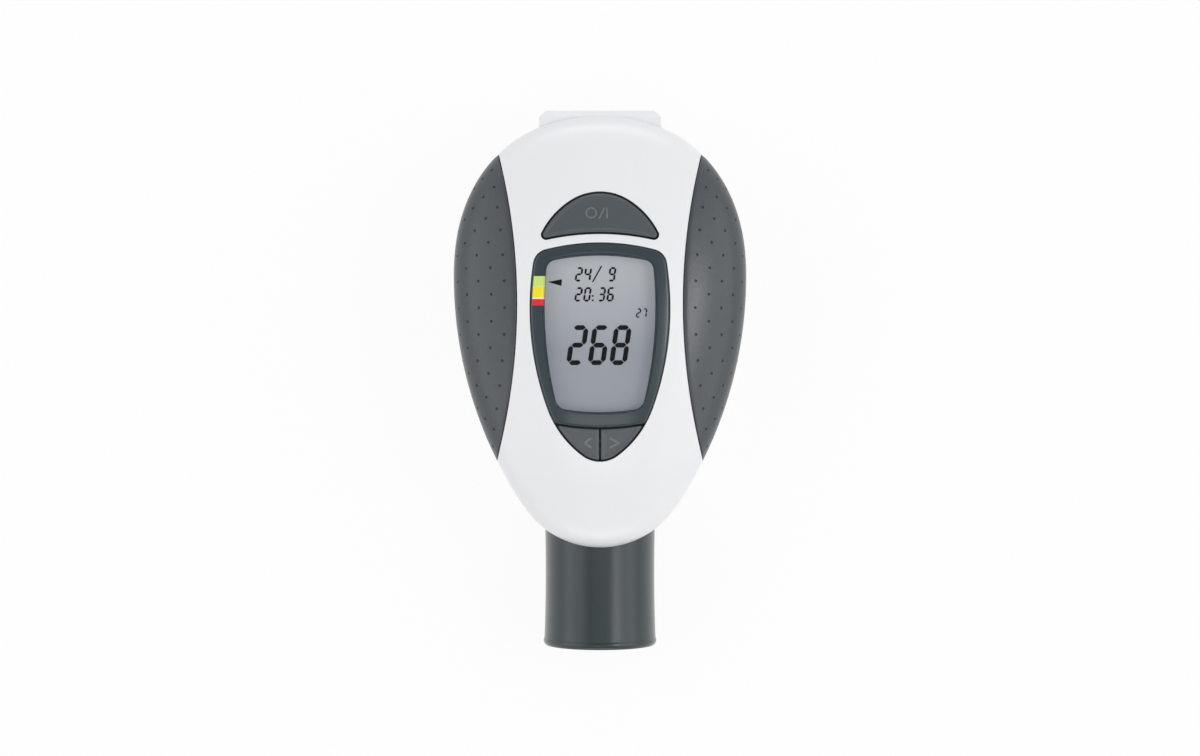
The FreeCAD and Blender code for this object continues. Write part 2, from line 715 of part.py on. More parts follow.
def circuit_board():
    """Board under the display, with a narrow tongue below the arrow keys."""
    egg = Part.Face(egg_wire(BOARD_INSET, BOARD_SHARE, BOARD_TOP_Z - BOARD_THICKNESS))
    wide = egg.extrude(Vector(0, 0, BOARD_THICKNESS))
    body = wide.common(box(-FAR, FAR, BOARD_SHOULDER_Y, BOARD_HIGH_Y, 0, FAR))
    tongue = wide.common(box(-BOARD_TONGUE_HALF, BOARD_TONGUE_HALF, BOARD_LOW_Y,
                             BOARD_SHOULDER_Y + OVERRUN, 0, FAR))
    board = fused([body, tongue])
    for x, y in board_screw_places():
        board = board.cut(rod(SCREW_RADIUS + SCREW_CLEARANCE, (x, y, 0), (0, 0, 1), FAR))
    return board


def board_box(x, y, width, length, height):
    """Block-shaped component under the board."""
    foot = BOARD_TOP_Z - BOARD_THICKNESS
    return box(x - width / 2, x + width / 2, y - length / 2, y + length / 2, foot - height, foot)


def microcontroller():
    """Square chip with two rows of leads on each side."""
    leads = []
    for i in range(LEAD_COUNT):
        along = LEAD_PITCH * (i - (LEAD_COUNT - 1) / 2)
        for side in (-1, 1):
            leads.append(board_box(side * LEAD_REACH, CHIP_Y + along, LEAD_LENGTH, LEAD_WIDTH, LEAD_HEIGHT))
            leads.append(board_box(along, CHIP_Y + side * LEAD_REACH, LEAD_WIDTH, LEAD_LENGTH, LEAD_HEIGHT))
    return fused([board_box(0, CHIP_Y, CHIP_SIDE, CHIP_SIDE, CHIP_HEIGHT)] + leads)


def radio_module():
    """Small shielded radio board with an exposed antenna end."""
    card = board_box(0, RADIO_Y, RADIO_WIDTH, RADIO_LENGTH, RADIO_CARD)
    can = board_box(0, RADIO_Y - RADIO_CAN_SHIFT, RADIO_CAN_SIDE, RADIO_CAN_SIDE, RADIO_CAN_HEIGHT)
    return fused([card, can])


def timing_crystal():
    """Timing crystal."""
    can = board_box(CRYSTAL_X, CRYSTAL_Y, CRYSTAL_WIDTH, CRYSTAL_LENGTH, CRYSTAL_HEIGHT)
    long_edges = [e for e in can.Edges if abs(e.Vertexes[0].Y - e.Vertexes[1].Y) > CRYSTAL_LENGTH / 2]
    return can.makeFillet(CRYSTAL_EDGE, long_edges)


def sensor(side):
    """Infrared part of the pick-up in its boss on the tunnel, with legs up to the board."""
    near = TUBE_RADIUS + SENSOR_TUBE_GAP
    far = near + SENSOR_LENGTH
    a = math.radians(SENSOR_ANGLE) * side
    body = sensor_rod(SENSOR_RADIUS, near + SENSOR_RADIUS, far, side)
    nose = Part.makeSphere(SENSOR_RADIUS, Vector(math.sin(a) * (near + SENSOR_RADIUS), TURBINE_Y,
                                                TUBE_AXIS_Z + math.cos(a) * (near + SENSOR_RADIUS)))
    legs = []
    for step in (-1, 1):
        reach = far - SENSOR_LEG_SINK
        foot = (math.sin(a) * reach, TURBINE_Y + step * SENSOR_LEG_SPREAD / 2, TUBE_AXIS_Z + math.cos(a) * reach)
        top = BOARD_TOP_Z - BOARD_THICKNESS
        legs.append(rod(SENSOR_LEG_RADIUS, foot, (0, 0, 1), top - foot[2]))
    return fused([body, nose] + legs)


# Keys and their domes

def edge_softened(cap):
    """Rounds the rim of a key's upper face."""
    top = max(cap.Faces, key=lambda face: face.CenterOfMass.z)
    return cap.makeFillet(KEY_EDGE_RADIUS, top.Edges)


def flange_top_z():
    """Upper side of the key flanges, just under their stops."""
    return KEY_GUIDE_FOOT_Z - KEY_STOP_GAP


def power_button():
    """Large on and off key, with its retaining flange."""
    top = flange_top_z()
    cap = outline_prism(POWER_LOW_Y, POWER_TURNS, top - KEY_FLANGE_THICKNESS, FAR).common(hull(-POWER_RISE))
    cap = edge_softened(cap)
    flange = outline_prism(POWER_LOW_Y, POWER_TURNS, top - KEY_FLANGE_THICKNESS, top, -KEY_FLANGE_REACH)
    return joined([cap, flange])


def right_arrow_button():
    """Right arrow key: half of the lower end of the display opening, with its flange."""
    top = flange_top_z()
    right = box(ARROW_SPLIT / 2, FAR, -FAR, FAR, 0, FAR)
    end = bezel_end(BEZEL_END_RADIUS + KEY_GAP)
    cap = outline_prism(SHIELD_TIP_Y, SHIELD_TURNS, top - KEY_FLANGE_THICKNESS, FAR, KEY_GAP)
    cap = cap.common(right).cut(end).common(hull(-ARROW_RISE))
    cap = edge_softened(cap)
    flange = outline_prism(SHIELD_TIP_Y, SHIELD_TURNS, top - KEY_FLANGE_THICKNESS, top, -KEY_FLANGE_REACH)
    flange = flange.common(right).cut(end)
    return joined([cap, flange])


def key_dome(x, y):
    """Hollow silicone return dome between the board and a key."""
    height = flange_top_z() - KEY_FLANGE_THICKNESS - BOARD_TOP_Z
    outer = Part.makeCone(DOME_BASE_RADIUS, DOME_HEAD_RADIUS, height, Vector(x, y, BOARD_TOP_Z))
    inner = Part.makeCone(DOME_BASE_RADIUS - DOME_WALL, DOME_HEAD_RADIUS - DOME_WALL, height - 2 * DOME_WALL,
                          Vector(x, y, BOARD_TOP_Z))
    return outer.cut(inner)


# Air tube and turbine

def measuring_tube():
    """Removable tube that carries the turbine, with its locating key and seal groove."""
    high = EXHAUST_END_Y - TUBE_EXHAUST_RECESS
    tube = tube_rod(TUBE_RADIUS, TUBE_LOW_Y, high).cut(tube_rod(TUBE_BORE, -FAR, FAR))
    low_key = TUNNEL_LOW_Y + TUBE_KEY_GAP
    key = box(-TUBE_KEY_WIDTH / 2, TUBE_KEY_WIDTH / 2, low_key, low_key + TUBE_KEY_LENGTH,
              TUBE_AXIS_Z - TUBE_RADIUS - TUBE_KEY_HEIGHT, TUBE_AXIS_Z - (TUBE_BORE + TUBE_RADIUS) / 2)
    groove_half = SEAL_SECTION + SEAL_GROOVE_GAP
    groove = tube_rod(FAR, SEAL_Y - groove_half, SEAL_Y + groove_half).cut(
        tube_rod(seal_radius() - SEAL_SECTION, -FAR, FAR))
    return fused([tube, key]).cut(groove)


def seal_radius():
    """Middle radius of the seal ring, whose outside runs on the tunnel's bore."""
    return TUNNEL_BORE - SEAL_RUN_GAP - SEAL_SECTION


def tube_seal_ring():
    """Soft ring that grips the tunnel."""
    return Part.makeTorus(seal_radius(), SEAL_SECTION, Vector(0, SEAL_Y, TUBE_AXIS_Z), Vector(0, 1, 0))


def swirl_vane(y0, twist):
    """One twisted guide vane from the hub to the ring."""
    steps = 3
    wires = []
    half = SWIRL_VANE_THICKNESS / 2
    inner = SWIRL_HUB_RADIUS - half
    outer = TUBE_BORE - SWIRL_FIT_GAP - SWIRL_RING / 2
    for i in range(steps + 1):
        a = math.radians(twist * i / steps)
        corners = []
        for r, t in ((inner, -half), (outer, -half), (outer, half), (inner, half)):
            corners.append(Vector(r * math.cos(a) - t * math.sin(a), y0 + SWIRL_LENGTH * i / steps,
                                  TUBE_AXIS_Z + r * math.sin(a) + t * math.cos(a)))
        wires.append(Part.makePolygon(corners + corners[:1]))
    return Part.makeLoft(wires, True, False)


def swirler(y0, twist, nose_side):
    """Fixed ring of twisted vanes with a hub that holds a bearing."""
    outer = TUBE_BORE - SWIRL_FIT_GAP
    ring = tube_rod(outer, y0, y0 + SWIRL_LENGTH).cut(tube_rod(outer - SWIRL_RING, -FAR, FAR))
    nose_y = y0 if nose_side < 0 else y0 + SWIRL_LENGTH
    hub = tube_rod(SWIRL_HUB_RADIUS, y0, y0 + SWIRL_LENGTH)
    nose = Part.makeSphere(SWIRL_HUB_RADIUS, Vector(0, nose_y, TUBE_AXIS_Z))
    first = swirl_vane(y0, twist)
    vanes = []
    for i in range(SWIRL_VANES):
        vane = first.copy()
        vane.rotate(Vector(0, 0, TUBE_AXIS_Z), Vector(0, 1, 0), 360.0 * i / SWIRL_VANES)
        vanes.append(vane)
    body = ring.multiFuse([hub, nose] + vanes)
    seat_y = y0 + SWIRL_LENGTH - BEARING_LENGTH if nose_side < 0 else y0
    seat = tube_rod(BEARING_RADIUS, seat_y, seat_y + BEARING_LENGTH)
    return body.cut(seat)


def rotor_span():
    """Y of both ends of the vane rotor."""
    return TURBINE_Y - ROTOR_LENGTH / 2, TURBINE_Y + ROTOR_LENGTH / 2


def inlet_swirler():
    """Swirler on the mouthpiece side."""
    low = rotor_span()[0] - SWIRL_GAP - SWIRL_LENGTH
    return swirler(low, SWIRL_TWIST, -1)


def outlet_swirler():
    """Swirler on the exhaust side, twisted the other way."""
    high = rotor_span()[1] + SWIRL_GAP
    return swirler(high, -SWIRL_TWIST, 1)


def turbine_bearing(y0, blind_side):
    """Small cup bearing for one end of the shaft."""
    cup = tube_rod(BEARING_RADIUS, y0, y0 + BEARING_LENGTH)
    low = y0 + BEARING_WALL if blind_side < 0 else y0 - OVERRUN
    high = y0 + BEARING_LENGTH + OVERRUN if blind_side < 0 else y0 + BEARING_LENGTH - BEARING_WALL
    return cup.cut(tube_rod(SHAFT_RADIUS + SHAFT_RUN_GAP, low, high))


def inlet_bearing():
    """Bearing in the inlet swirler."""
    return turbine_bearing(rotor_span()[0] - SWIRL_GAP - BEARING_LENGTH, -1)


def outlet_bearing():
    """Bearing in the outlet swirler."""
    return turbine_bearing(rotor_span()[1] + SWIRL_GAP, 1)


def rotor_vane():
    """Flat two-sided vane with a hub on the shaft."""
    low, high = rotor_span()
    blade = box(-ROTOR_RADIUS, ROTOR_RADIUS, low, high, TUBE_AXIS_Z - ROTOR_THICKNESS / 2,
                TUBE_AXIS_Z + ROTOR_THICKNESS / 2)
    tips = [e for e in blade.Edges if abs(e.Vertexes[0].Z - e.Vertexes[1].Z) > ROTOR_THICKNESS / 2]
    blade = blade.makeFillet(ROTOR_CORNER, tips)
    hub = tube_rod(ROTOR_HUB_RADIUS, low, high)
    return fused([blade, hub]).cut(tube_rod(SHAFT_RADIUS, -FAR, FAR))


def rotor_shaft():
    """Steel shaft of the rotor, running in both bearings."""
    low, high = rotor_span()
    reach = SWIRL_GAP + BEARING_LENGTH - BEARING_WALL - SHAFT_END_GAP
    return tube_rod(SHAFT_RADIUS, low - reach, high + reach)


def mouthpiece():
    """Dark mouthpiece: socket over the tube's end, waisted outside, beaded rim."""
    top_y = TUNNEL_LOW_Y - MOUTH_GAP
    bead_y = MOUTH_END_Y + MOUTH_RIM_BEAD
    step = MOUTH_RIM_RADIUS - MOUTH_BEAD_STEP
    waist = Part.Arc(Vector(MOUTH_TOP_RADIUS, top_y, 0), Vector(MOUTH_WAIST_RADIUS, MOUTH_WAIST_Y, 0),
                     Vector(step, bead_y, 0)).toShape()
    bead = Part.Arc(Vector(step, bead_y, 0), Vector(MOUTH_RIM_RADIUS, MOUTH_END_Y + MOUTH_RIM_BEAD / 2, 0),
                    Vector(MOUTH_RIM_RADIUS - MOUTH_LIP, MOUTH_END_Y, 0)).toShape()
    socket = TUBE_RADIUS + MOUTH_SOCKET_GAP
    step_y = TUBE_LOW_Y - MOUTH_GAP
    corners = [(MOUTH_RIM_RADIUS - MOUTH_LIP, MOUTH_END_Y), (MOUTH_BORE + MOUTH_LIP, MOUTH_END_Y),
               (MOUTH_BORE, MOUTH_END_Y + MOUTH_LIP), (MOUTH_BORE, step_y), (socket, step_y),
               (socket, top_y), (MOUTH_TOP_RADIUS, top_y)]
    line = [Vector(x, y, 0) for x, y in corners]
    edges = [waist, bead] + [Part.makeLine(a, b) for a, b in zip(line, line[1:])]
    body = Part.Face(Part.Wire(edges)).revolve(Vector(0, 0, 0), Vector(0, 1, 0), 360)
    body.translate(Vector(0, 0, TUBE_AXIS_Z))
    return body


# Batteries and contacts

def cell(side):
    """AAA cell along Y; the two cells point opposite ways."""
    low, high = cell_pocket_ends()
    x = side * CELL_X
    body_length = CELL_LENGTH - CELL_NUB_LENGTH
    if side < 0:
        start = low + CELL_PLATE + CELL_SPRING_LENGTH
        can = rod(CELL_RADIUS, (x, start, CELL_Z), (0, 1, 0), body_length)
        nub_y = start + body_length - OVERRUN
        nub = rod(CELL_NUB_RADIUS, (x, nub_y, CELL_Z), (0, 1, 0), CELL_NUB_LENGTH + OVERRUN)
    else:
        start = high - CELL_PLATE - CELL_SPRING_LENGTH
        can = rod(CELL_RADIUS, (x, start, CELL_Z), (0, -1, 0), body_length)
        nub_y = start - body_length + OVERRUN
        nub = rod(CELL_NUB_RADIUS, (x, nub_y, CELL_Z), (0, -1, 0), CELL_NUB_LENGTH + OVERRUN)
    rims = [e for e in can.Edges if e.Closed]
    can = can.makeFillet(CELL_RIM_RADIUS, rims)
    return fused([can, nub])


def plate_places():
    """X, lower Y and the side of the end wall for each contact plate."""
    low, high = cell_pocket_ends()
    return [(side * CELL_X, y, wall) for side in (-1, 1) for y, wall in ((low, -1), (high - CELL_PLATE, 1))]


def strap_box(x, y, wall_side, grow, z0, z1):
    """Strap of a contact plate, grown away from the end wall that it lies on."""
    half = STRAP_WIDTH / 2 + grow
    low = y if wall_side < 0 else y - grow
    return box(x - half, x + half, low, low + CELL_PLATE + grow, z0, z1)


def contact_plates():
    """Four plated steel contacts, each with a strap up to the board."""
    half = CELL_RADIUS - CELL_PLATE_INSET
    board_foot = BOARD_TOP_Z - BOARD_THICKNESS
    over_door = hull(DOOR_SINK + DOOR_THICKNESS + CELL_PLATE_DOOR_GAP)
    plates = []
    for x, y, wall_side in plate_places():
        plate = box(x - half, x + half, y, y + CELL_PLATE, CELL_Z - half, CELL_Z + half).common(over_door)
        plates.append(fused([plate, strap_box(x, y, wall_side, 0, CELL_Z, board_foot)]))
    return Part.makeCompound(plates)


def battery_springs():
    """Coil springs on the negative plates."""
    low, high = cell_pocket_ends()
    length = CELL_SPRING_LENGTH - 2 * SPRING_WIRE
    springs = []
    for side in (-1, 1):
        helix = Part.makeLongHelix(length / SPRING_TURNS, length, SPRING_RADIUS, SPRING_FLARE)
        profile = Part.Wire(Part.makeCircle(SPRING_WIRE, Vector(SPRING_RADIUS, 0, 0), Vector(0, 1, 0)))
        coil = Part.Wire(helix).makePipeShell([profile], True, True)
        if side < 0:
            coil.rotate(Vector(0, 0, 0), Vector(1, 0, 0), -90)
            coil.translate(Vector(-CELL_X, low + CELL_PLATE + SPRING_WIRE, CELL_Z))
        else:
            coil.rotate(Vector(0, 0, 0), Vector(1, 0, 0), 90)
            coil.translate(Vector(CELL_X, high - CELL_PLATE - SPRING_WIRE, CELL_Z))
        springs.append(coil)
    return Part.makeCompound(springs)


# Screws

def screw(x, y, seat_z, length, up):
    """Pan-head cross-slot screw. Its head stands below the seat when it points up."""
    direction = (0, 0, up)
    shank = rod(SCREW_RADIUS, (x, y, seat_z), direction, length)
    head = rod(SCREW_HEAD_RADIUS, (x, y, seat_z - up * SCREW_HEAD_HEIGHT), direction, SCREW_HEAD_HEIGHT)
    far_face = seat_z - up * SCREW_HEAD_HEIGHT
    low = min(far_face, far_face + up * SCREW_SLOT_DEPTH)
    high = max(far_face, far_face + up * SCREW_SLOT_DEPTH)
    reach = SCREW_HEAD_RADIUS * SCREW_SLOT_SHARE
    half = SCREW_SLOT_WIDTH / 2
    slots = [box(x - reach, x + reach, y - half, y + half, low, high),
             box(x - half, x + half, y - reach, y + reach, low, high)]
    return fused([shank, head]).cut(slots[0]).cut(slots[1])


def casing_screws():
    """Screws that hold the casing halves together, driven from the back."""
    return Part.makeCompound([screw(x, y, CASE_SCREW_SEAT_Z, CASE_SCREW_LENGTH, 1) for x, y in case_screw_places()])


def board_screws():
    """Screws that hold the board to the front casing."""
    seat = BOARD_TOP_Z - BOARD_THICKNESS
    return Part.makeCompound([screw(x, y, seat, BOARD_SCREW_LENGTH, 1) for x, y in board_screw_places()])


# All sub-parts by name

def build_parts():
    """Every separate piece of the meter."""
    grip = left_grip()
    arrow = right_arrow_button()
    parts = {
        "front_casing": front_casing(),
        "rear_casing": rear_casing(),
        "left_grip": grip,
        "right_grip": mirrored(grip),
        "display_bezel": display_bezel(),
        "display_window": display_window(),
        "lcd_glass": lcd_glass(),
        "lcd_reflector": lcd_reflector(),
        "lcd_frame": lcd_frame(),
        "contact_strip": contact_strip(),
        "power_button": power_button(),
        "right_arrow_button": arrow,
        "left_arrow_button": mirrored(arrow),
        "power_key_dome": key_dome(0, POWER_DOME_Y),
        "right_key_dome": key_dome(ARROW_DOME_X, ARROW_DOME_Y),
        "left_key_dome": key_dome(-ARROW_DOME_X, ARROW_DOME_Y),
        "circuit_board": circuit_board(),
        "microcontroller": microcontroller(),
        "radio_module": radio_module(),
        "timing_crystal": timing_crystal(),
        "infrared_emitter": sensor(-1),
        "infrared_detector": sensor(1),
        "measuring_tube": measuring_tube(),
        "tube_seal_ring": tube_seal_ring(),
        "inlet_swirler": inlet_swirler(),
        "outlet_swirler": outlet_swirler(),
        "inlet_bearing": inlet_bearing(),
        "outlet_bearing": outlet_bearing(),
        "rotor_vane": rotor_vane(),
        "rotor_shaft": rotor_shaft(),
        "mouthpiece": mouthpiece(),
        "battery_door": battery_door(),
        "left_battery": cell(-1),
        "right_battery": cell(1),
        "contact_plates": contact_plates(),
        "battery_springs": battery_springs(),
        "casing_screws": casing_screws(),
        "board_screws": board_screws(),
        "zone_label": zone_label(),
    }
    return parts


def main():
    """Writes one STEP file per sub-part and prints its box."""
    os.makedirs("parts", exist_ok=True)
    for name, shape in build_parts().items():
        print(f"{name:20s} solids {len(shape.Solids)} valid {shape.isValid()} volume {shape.Volume:9.1f}")
        shape.exportStep(f"parts/{name}.step")


main()
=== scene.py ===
# %% [markdown]
# # An electronic peak flow meter, dressed for its picture
# The engineering model is already packed: every piece has its real size and place in one shared frame. This
# lesson adds the looks: dimpled grips, the display frame, the figures and the finishes. Every new piece rides
# on the body that carries it, so the keys still press and the air tube still pulls out.

# %% Load the frame
import math

import bmesh
import bpy
import numpy as np
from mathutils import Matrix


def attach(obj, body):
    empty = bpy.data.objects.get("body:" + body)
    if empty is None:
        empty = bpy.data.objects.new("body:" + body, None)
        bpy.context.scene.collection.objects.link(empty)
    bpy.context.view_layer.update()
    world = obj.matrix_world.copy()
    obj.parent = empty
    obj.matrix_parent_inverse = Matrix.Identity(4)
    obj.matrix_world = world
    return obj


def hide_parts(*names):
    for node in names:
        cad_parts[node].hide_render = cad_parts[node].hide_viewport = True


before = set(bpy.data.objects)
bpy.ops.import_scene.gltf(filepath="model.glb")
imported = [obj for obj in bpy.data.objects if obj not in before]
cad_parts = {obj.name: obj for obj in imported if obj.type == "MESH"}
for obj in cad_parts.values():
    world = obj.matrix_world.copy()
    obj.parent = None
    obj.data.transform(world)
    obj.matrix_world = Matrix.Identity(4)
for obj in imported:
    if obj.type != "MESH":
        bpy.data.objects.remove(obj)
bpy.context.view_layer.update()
MM = 0.001

# %% [markdown]
# ## Helpers for modelling
# Operators act on whatever is selected, and the loaded nodes start out selected, so each piece begins by
# clearing the selection. Many moulded pieces here are lofts: a ring of points is extruded to the next, as a
# modeller does with E and G. `loft` uses the real extrude operator and then puts each new ring in place.

# %% Helpers: selection and lofts
def deselect():
    """Clears the selection."""
    bpy.ops.object.select_all(action="DESELECT")


def select_only(*objects):
    """Leaves only these objects selected, the first one active."""
    deselect()
    for obj in objects:
        obj.select_set(True)
    bpy.context.view_layer.objects.active = objects[0]


def active_named(name):
    """The active object, with this name on it and on its mesh."""
    obj = bpy.context.active_object
    obj.name = obj.data.name = name
    return obj


def place_selected(points):
    """Moves the selected vertices of the mesh in edit mode to these points, in index order."""
    data = bpy.context.edit_object.data
    mesh = bmesh.from_edit_mesh(data)
    picked = [v for v in mesh.verts if v.select]
    for vertex, point in zip(picked, points):
        vertex.co = point
    bmesh.update_edit_mesh(data)


def edit_all():
    """Enters edit mode with the whole mesh selected."""
    bpy.ops.object.mode_set(mode="EDIT")
    bpy.ops.mesh.select_all(action="SELECT")


def finish_faces(inside=False):
    """Turns all the faces outwards, or inwards, and leaves edit mode."""
    bpy.ops.mesh.select_all(action="SELECT")
    bpy.ops.mesh.normals_make_consistent(inside=inside)
    bpy.ops.object.mode_set(mode="OBJECT")


def loft(name, rings, closed=False):
    """Extrudes a ring of points through all the rings. A closed loft joins the last one to the first."""
    count = len(rings[0])
    deselect()
    bpy.ops.mesh.primitive_circle_add(vertices=count, fill_type="NOTHING", enter_editmode=True)
    obj = active_named(name)
    place_selected(rings[0])
    for ring in rings[1:]:
        bpy.ops.mesh.extrude_region_move()
        place_selected(ring)
    mesh = bmesh.from_edit_mesh(obj.data)
    first, last = list(mesh.verts)[:count], list(mesh.verts)[-count:]
    if closed:
        bpy.ops.mesh.select_all(action="DESELECT")
        for vertex in first + last:
            vertex.select = True
        mesh.select_flush(True)
        bmesh.update_edit_mesh(obj.data)
        bpy.ops.mesh.bridge_edge_loops()
    else:
        for end in (first, last):
            mesh.faces.new(end)
        bmesh.update_edit_mesh(obj.data)
    finish_faces()
    return obj


# %% Helpers: finishing a piece
def apply_modifier(obj, kind, **settings):
    """Adds a modifier with these settings and applies it."""
    select_only(obj)
    modifier = obj.modifiers.new(kind.lower(), kind)
    for key, value in settings.items():
        setattr(modifier, key, value)
    bpy.ops.object.modifier_apply(modifier=modifier.name)


def apply_place():
    """Applies the selected object's place, turn and size to its mesh."""
    bpy.ops.object.transform_apply(location=True, rotation=True, scale=True)


def settle(obj, angle):
    """Applies an object's place to its mesh and smooths it, but for edges sharper than the angle."""
    select_only(obj)
    apply_place()
    bpy.ops.object.shade_smooth_by_angle(angle=math.radians(angle))
    return obj


def mirrored(obj, name):
    """Copy on the other side of the meter, with a mesh of its own and its faces outwards."""
    select_only(obj)
    bpy.ops.object.duplicate(linked=False)
    copy = active_named(name)
    edit_all()
    bpy.ops.transform.resize(value=(-1, 1, 1), center_override=(0, 0, 0))
    bpy.ops.mesh.flip_normals()
    bpy.ops.object.mode_set(mode="OBJECT")
    return copy


def put(obj, body, slot, *nodes):
    """Lets a piece ride on its body and hides the nodes that it stands for. The slot, its finish's name, is
    not used.
    """
    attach(obj, body)
    if nodes:
        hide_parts(*nodes)
    print(obj.name, "rides on", body, "with", len(obj.data.polygons), "faces")


# %% [markdown]
# ## The egg form
# Seen from above the body is an egg: a small arc at the tip, long arcs along the flanks and a blunt crown. In
# side view the front is a shallow dome and the back a deeper bowl with a flat for the table. The same few
# sizes as in the engineering model give the skin in any direction, drawn in by an inset where a piece lies
# lower.

# %% The egg: outline, dome and bowl
BODY_WIDTH = 78.0 * MM
CROWN_Y = 70.3 * MM
BODY_LENGTH = 114.8 * MM
CROWN_RISE = 42.6 * MM
CROWN_POWER = 2.2
FLANK_RADIUS = 109.7 * MM
PARTING_Z = 33.0 * MM
DOME_HEIGHT = 15.06 * MM
DOME_POWER = 2.2
BACK_FLAT_SHARE = 0.5
TIP_STEPS = 60
FLANK_STEPS = 90
CROWN_STEPS = 140
SECTION_STEPS = 2400
SECTION_START = math.pi / 2 - 0.01
BISECTIONS = 24
LEAST_SHARE = 0.02
TIP_Y = CROWN_Y - BODY_LENGTH
WIDEST_Y = CROWN_Y - CROWN_RISE
MIDDLE_Y = (CROWN_Y + TIP_Y) / 2


def egg_half(inset):
    """Dense points of the right half of the outline, from the tip to the crown."""
    drop = WIDEST_Y - TIP_Y
    side = FLANK_RADIUS - BODY_WIDTH / 2
    tip_radius = (FLANK_RADIUS ** 2 - side ** 2 - drop ** 2) / (2 * (FLANK_RADIUS - drop))
    join = math.atan2(drop - tip_radius, side)
    tip = np.linspace(-math.pi / 2, -join, TIP_STEPS)
    flank = np.linspace(-join, 0, FLANK_STEPS)[1:]
    crown = np.linspace(0, math.pi / 2, CROWN_STEPS)[1:]
    x = np.concatenate([np.cos(tip) * (tip_radius - inset),
                        -side + np.cos(flank) * (FLANK_RADIUS - inset),
                        (BODY_WIDTH / 2 - inset) * np.cos(crown).clip(0) ** (2 / CROWN_POWER)])
    y = np.concatenate([TIP_Y + tip_radius + np.sin(tip) * (tip_radius - inset),
                        WIDEST_Y + np.sin(flank) * (FLANK_RADIUS - inset),
                        WIDEST_Y + (CROWN_RISE - inset) * np.sin(crown) ** (2 / CROWN_POWER)])
    return x, y


def half_width(y, inset=0.0):
    """Half of the outline's width at y, and nothing beyond its ends."""
    xs, ys = egg_half(inset)
    return np.interp(y, ys, xs, left=0.0, right=0.0)


def dome_z(x, y, inset=0.0):
    """Height of the front dome over a point, from the scaled outline that passes through it."""
    x, y = np.abs(np.asarray(x, float)), np.asarray(y, float)
    low, high = np.full(x.shape, LEAST_SHARE), np.ones(x.shape)
    for _ in range(BISECTIONS):
        share = (low + high) / 2
        outside = share * half_width(MIDDLE_Y + (y - MIDDLE_Y) / share, inset) <= x
        low, high = np.where(outside, share, low), np.where(outside, high, share)
    share = (low + high) / 2
    return PARTING_Z + (DOME_HEIGHT - inset) * (1 - share ** DOME_POWER) ** (1 / DOME_POWER)


def section(y, inset=0.0):
    """Half section of the skin across the body at y, from the top of the dome round to the back."""
    turn = np.linspace(SECTION_START, -math.pi / 2, SECTION_STEPS)
    front = turn > 0
    cosine, sine = np.cos(turn).clip(0), np.abs(np.sin(turn))
    share = np.where(front, cosine ** (2 / DOME_POWER), BACK_FLAT_SHARE + (1 - BACK_FLAT_SHARE) * cosine)
    dome = (DOME_HEIGHT - inset) * sine ** (2 / DOME_POWER)
    z = PARTING_Z + np.where(front, dome, -(PARTING_Z - inset) * sine)
    return share * half_width(MIDDLE_Y + (y - MIDDLE_Y) / share, inset), z


print("egg", BODY_WIDTH / MM, "by", BODY_LENGTH / MM, "mm, dome top at", float(dome_z(0, 0.02)) / MM)

# %% [markdown]
# ## Soft side grips
# Each flank carries an overmoulded rubber grip. It starts at a curved seam on the front, wraps round the side
# over the joint of the shells and ends at a seam on the back. Small pins in the mould leave columns of round
# dimples. A bump map could fake them, but they cut into the grip's outline at its side, so they are real: the
# grip is a loft of cross-sections, and a cutter of small spheres is taken away from it with one boolean.

# %% Grip: cross-sections
GRIP_THICKNESS = 1.7 * MM
GRIP_SEAM_RADIUS = 153.7 * MM
GRIP_SEAM_X = 21.7 * MM
GRIP_SEAM_Y = 20.1 * MM
GRIP_SIDE_RADIUS = 45.0 * MM
GRIP_SIDE_Y = 18.8 * MM
GRIP_LOW_Z = 9.0 * MM
GRIP_EDGE = 0.3 * MM
GRIP_OUTER_POINTS = 27
GRIP_INNER_POINTS = 17
GRIP_ROWS = 56
GRIP_REACH = (-23.0 * MM, 62.0 * MM)
TIP_POINTS = 10
LEAST_POINTS = 3
EDGE_PARTS = 5
MERGE_DISTANCE = 0.004 * MM


def seam_x(y):
    """Distance of the front seam from the middle plane."""
    return GRIP_SEAM_X + GRIP_SEAM_RADIUS - math.sqrt(GRIP_SEAM_RADIUS ** 2 - (y - GRIP_SEAM_Y) ** 2)


def seam_z(y):
    """Height of the back seam."""
    return GRIP_LOW_Z + GRIP_SIDE_RADIUS - math.sqrt(GRIP_SIDE_RADIUS ** 2 - (y - GRIP_SIDE_Y) ** 2)


def grip_run(y, inset):
    """Points of the skin between the two seams at y, and the run along them. Near the tips the inner face is
    only the corner where the two seam walls meet."""
    side, low = seam_x(y), seam_z(y)
    x, z = section(y, inset)
    between = (x > side) & (z > low)
    if between.sum() < LEAST_POINTS:
        return np.array([side] * 2), np.array([low] * 2), np.array([0.0, 1.0])
    start, stop = int(np.argmax(between)), int(np.argmax(z < low))
    first = np.interp(side, x[start - 1:start + 1], z[start - 1:start + 1])
    last = np.interp(low, z[stop - 1:stop + 1][::-1], x[stop - 1:stop + 1][::-1])
    x = np.concatenate([[side], x[start:stop], [last]])
    z = np.concatenate([[first], z[start:stop], [low]])
    run = np.concatenate([[0], np.cumsum(np.hypot(np.diff(x), np.diff(z)))])
    return x, z, run


def along_run(places, x, z, run):
    """Points of a cross-section at distances along it."""
    return list(zip(np.interp(places, run, x), np.interp(places, run, z)))


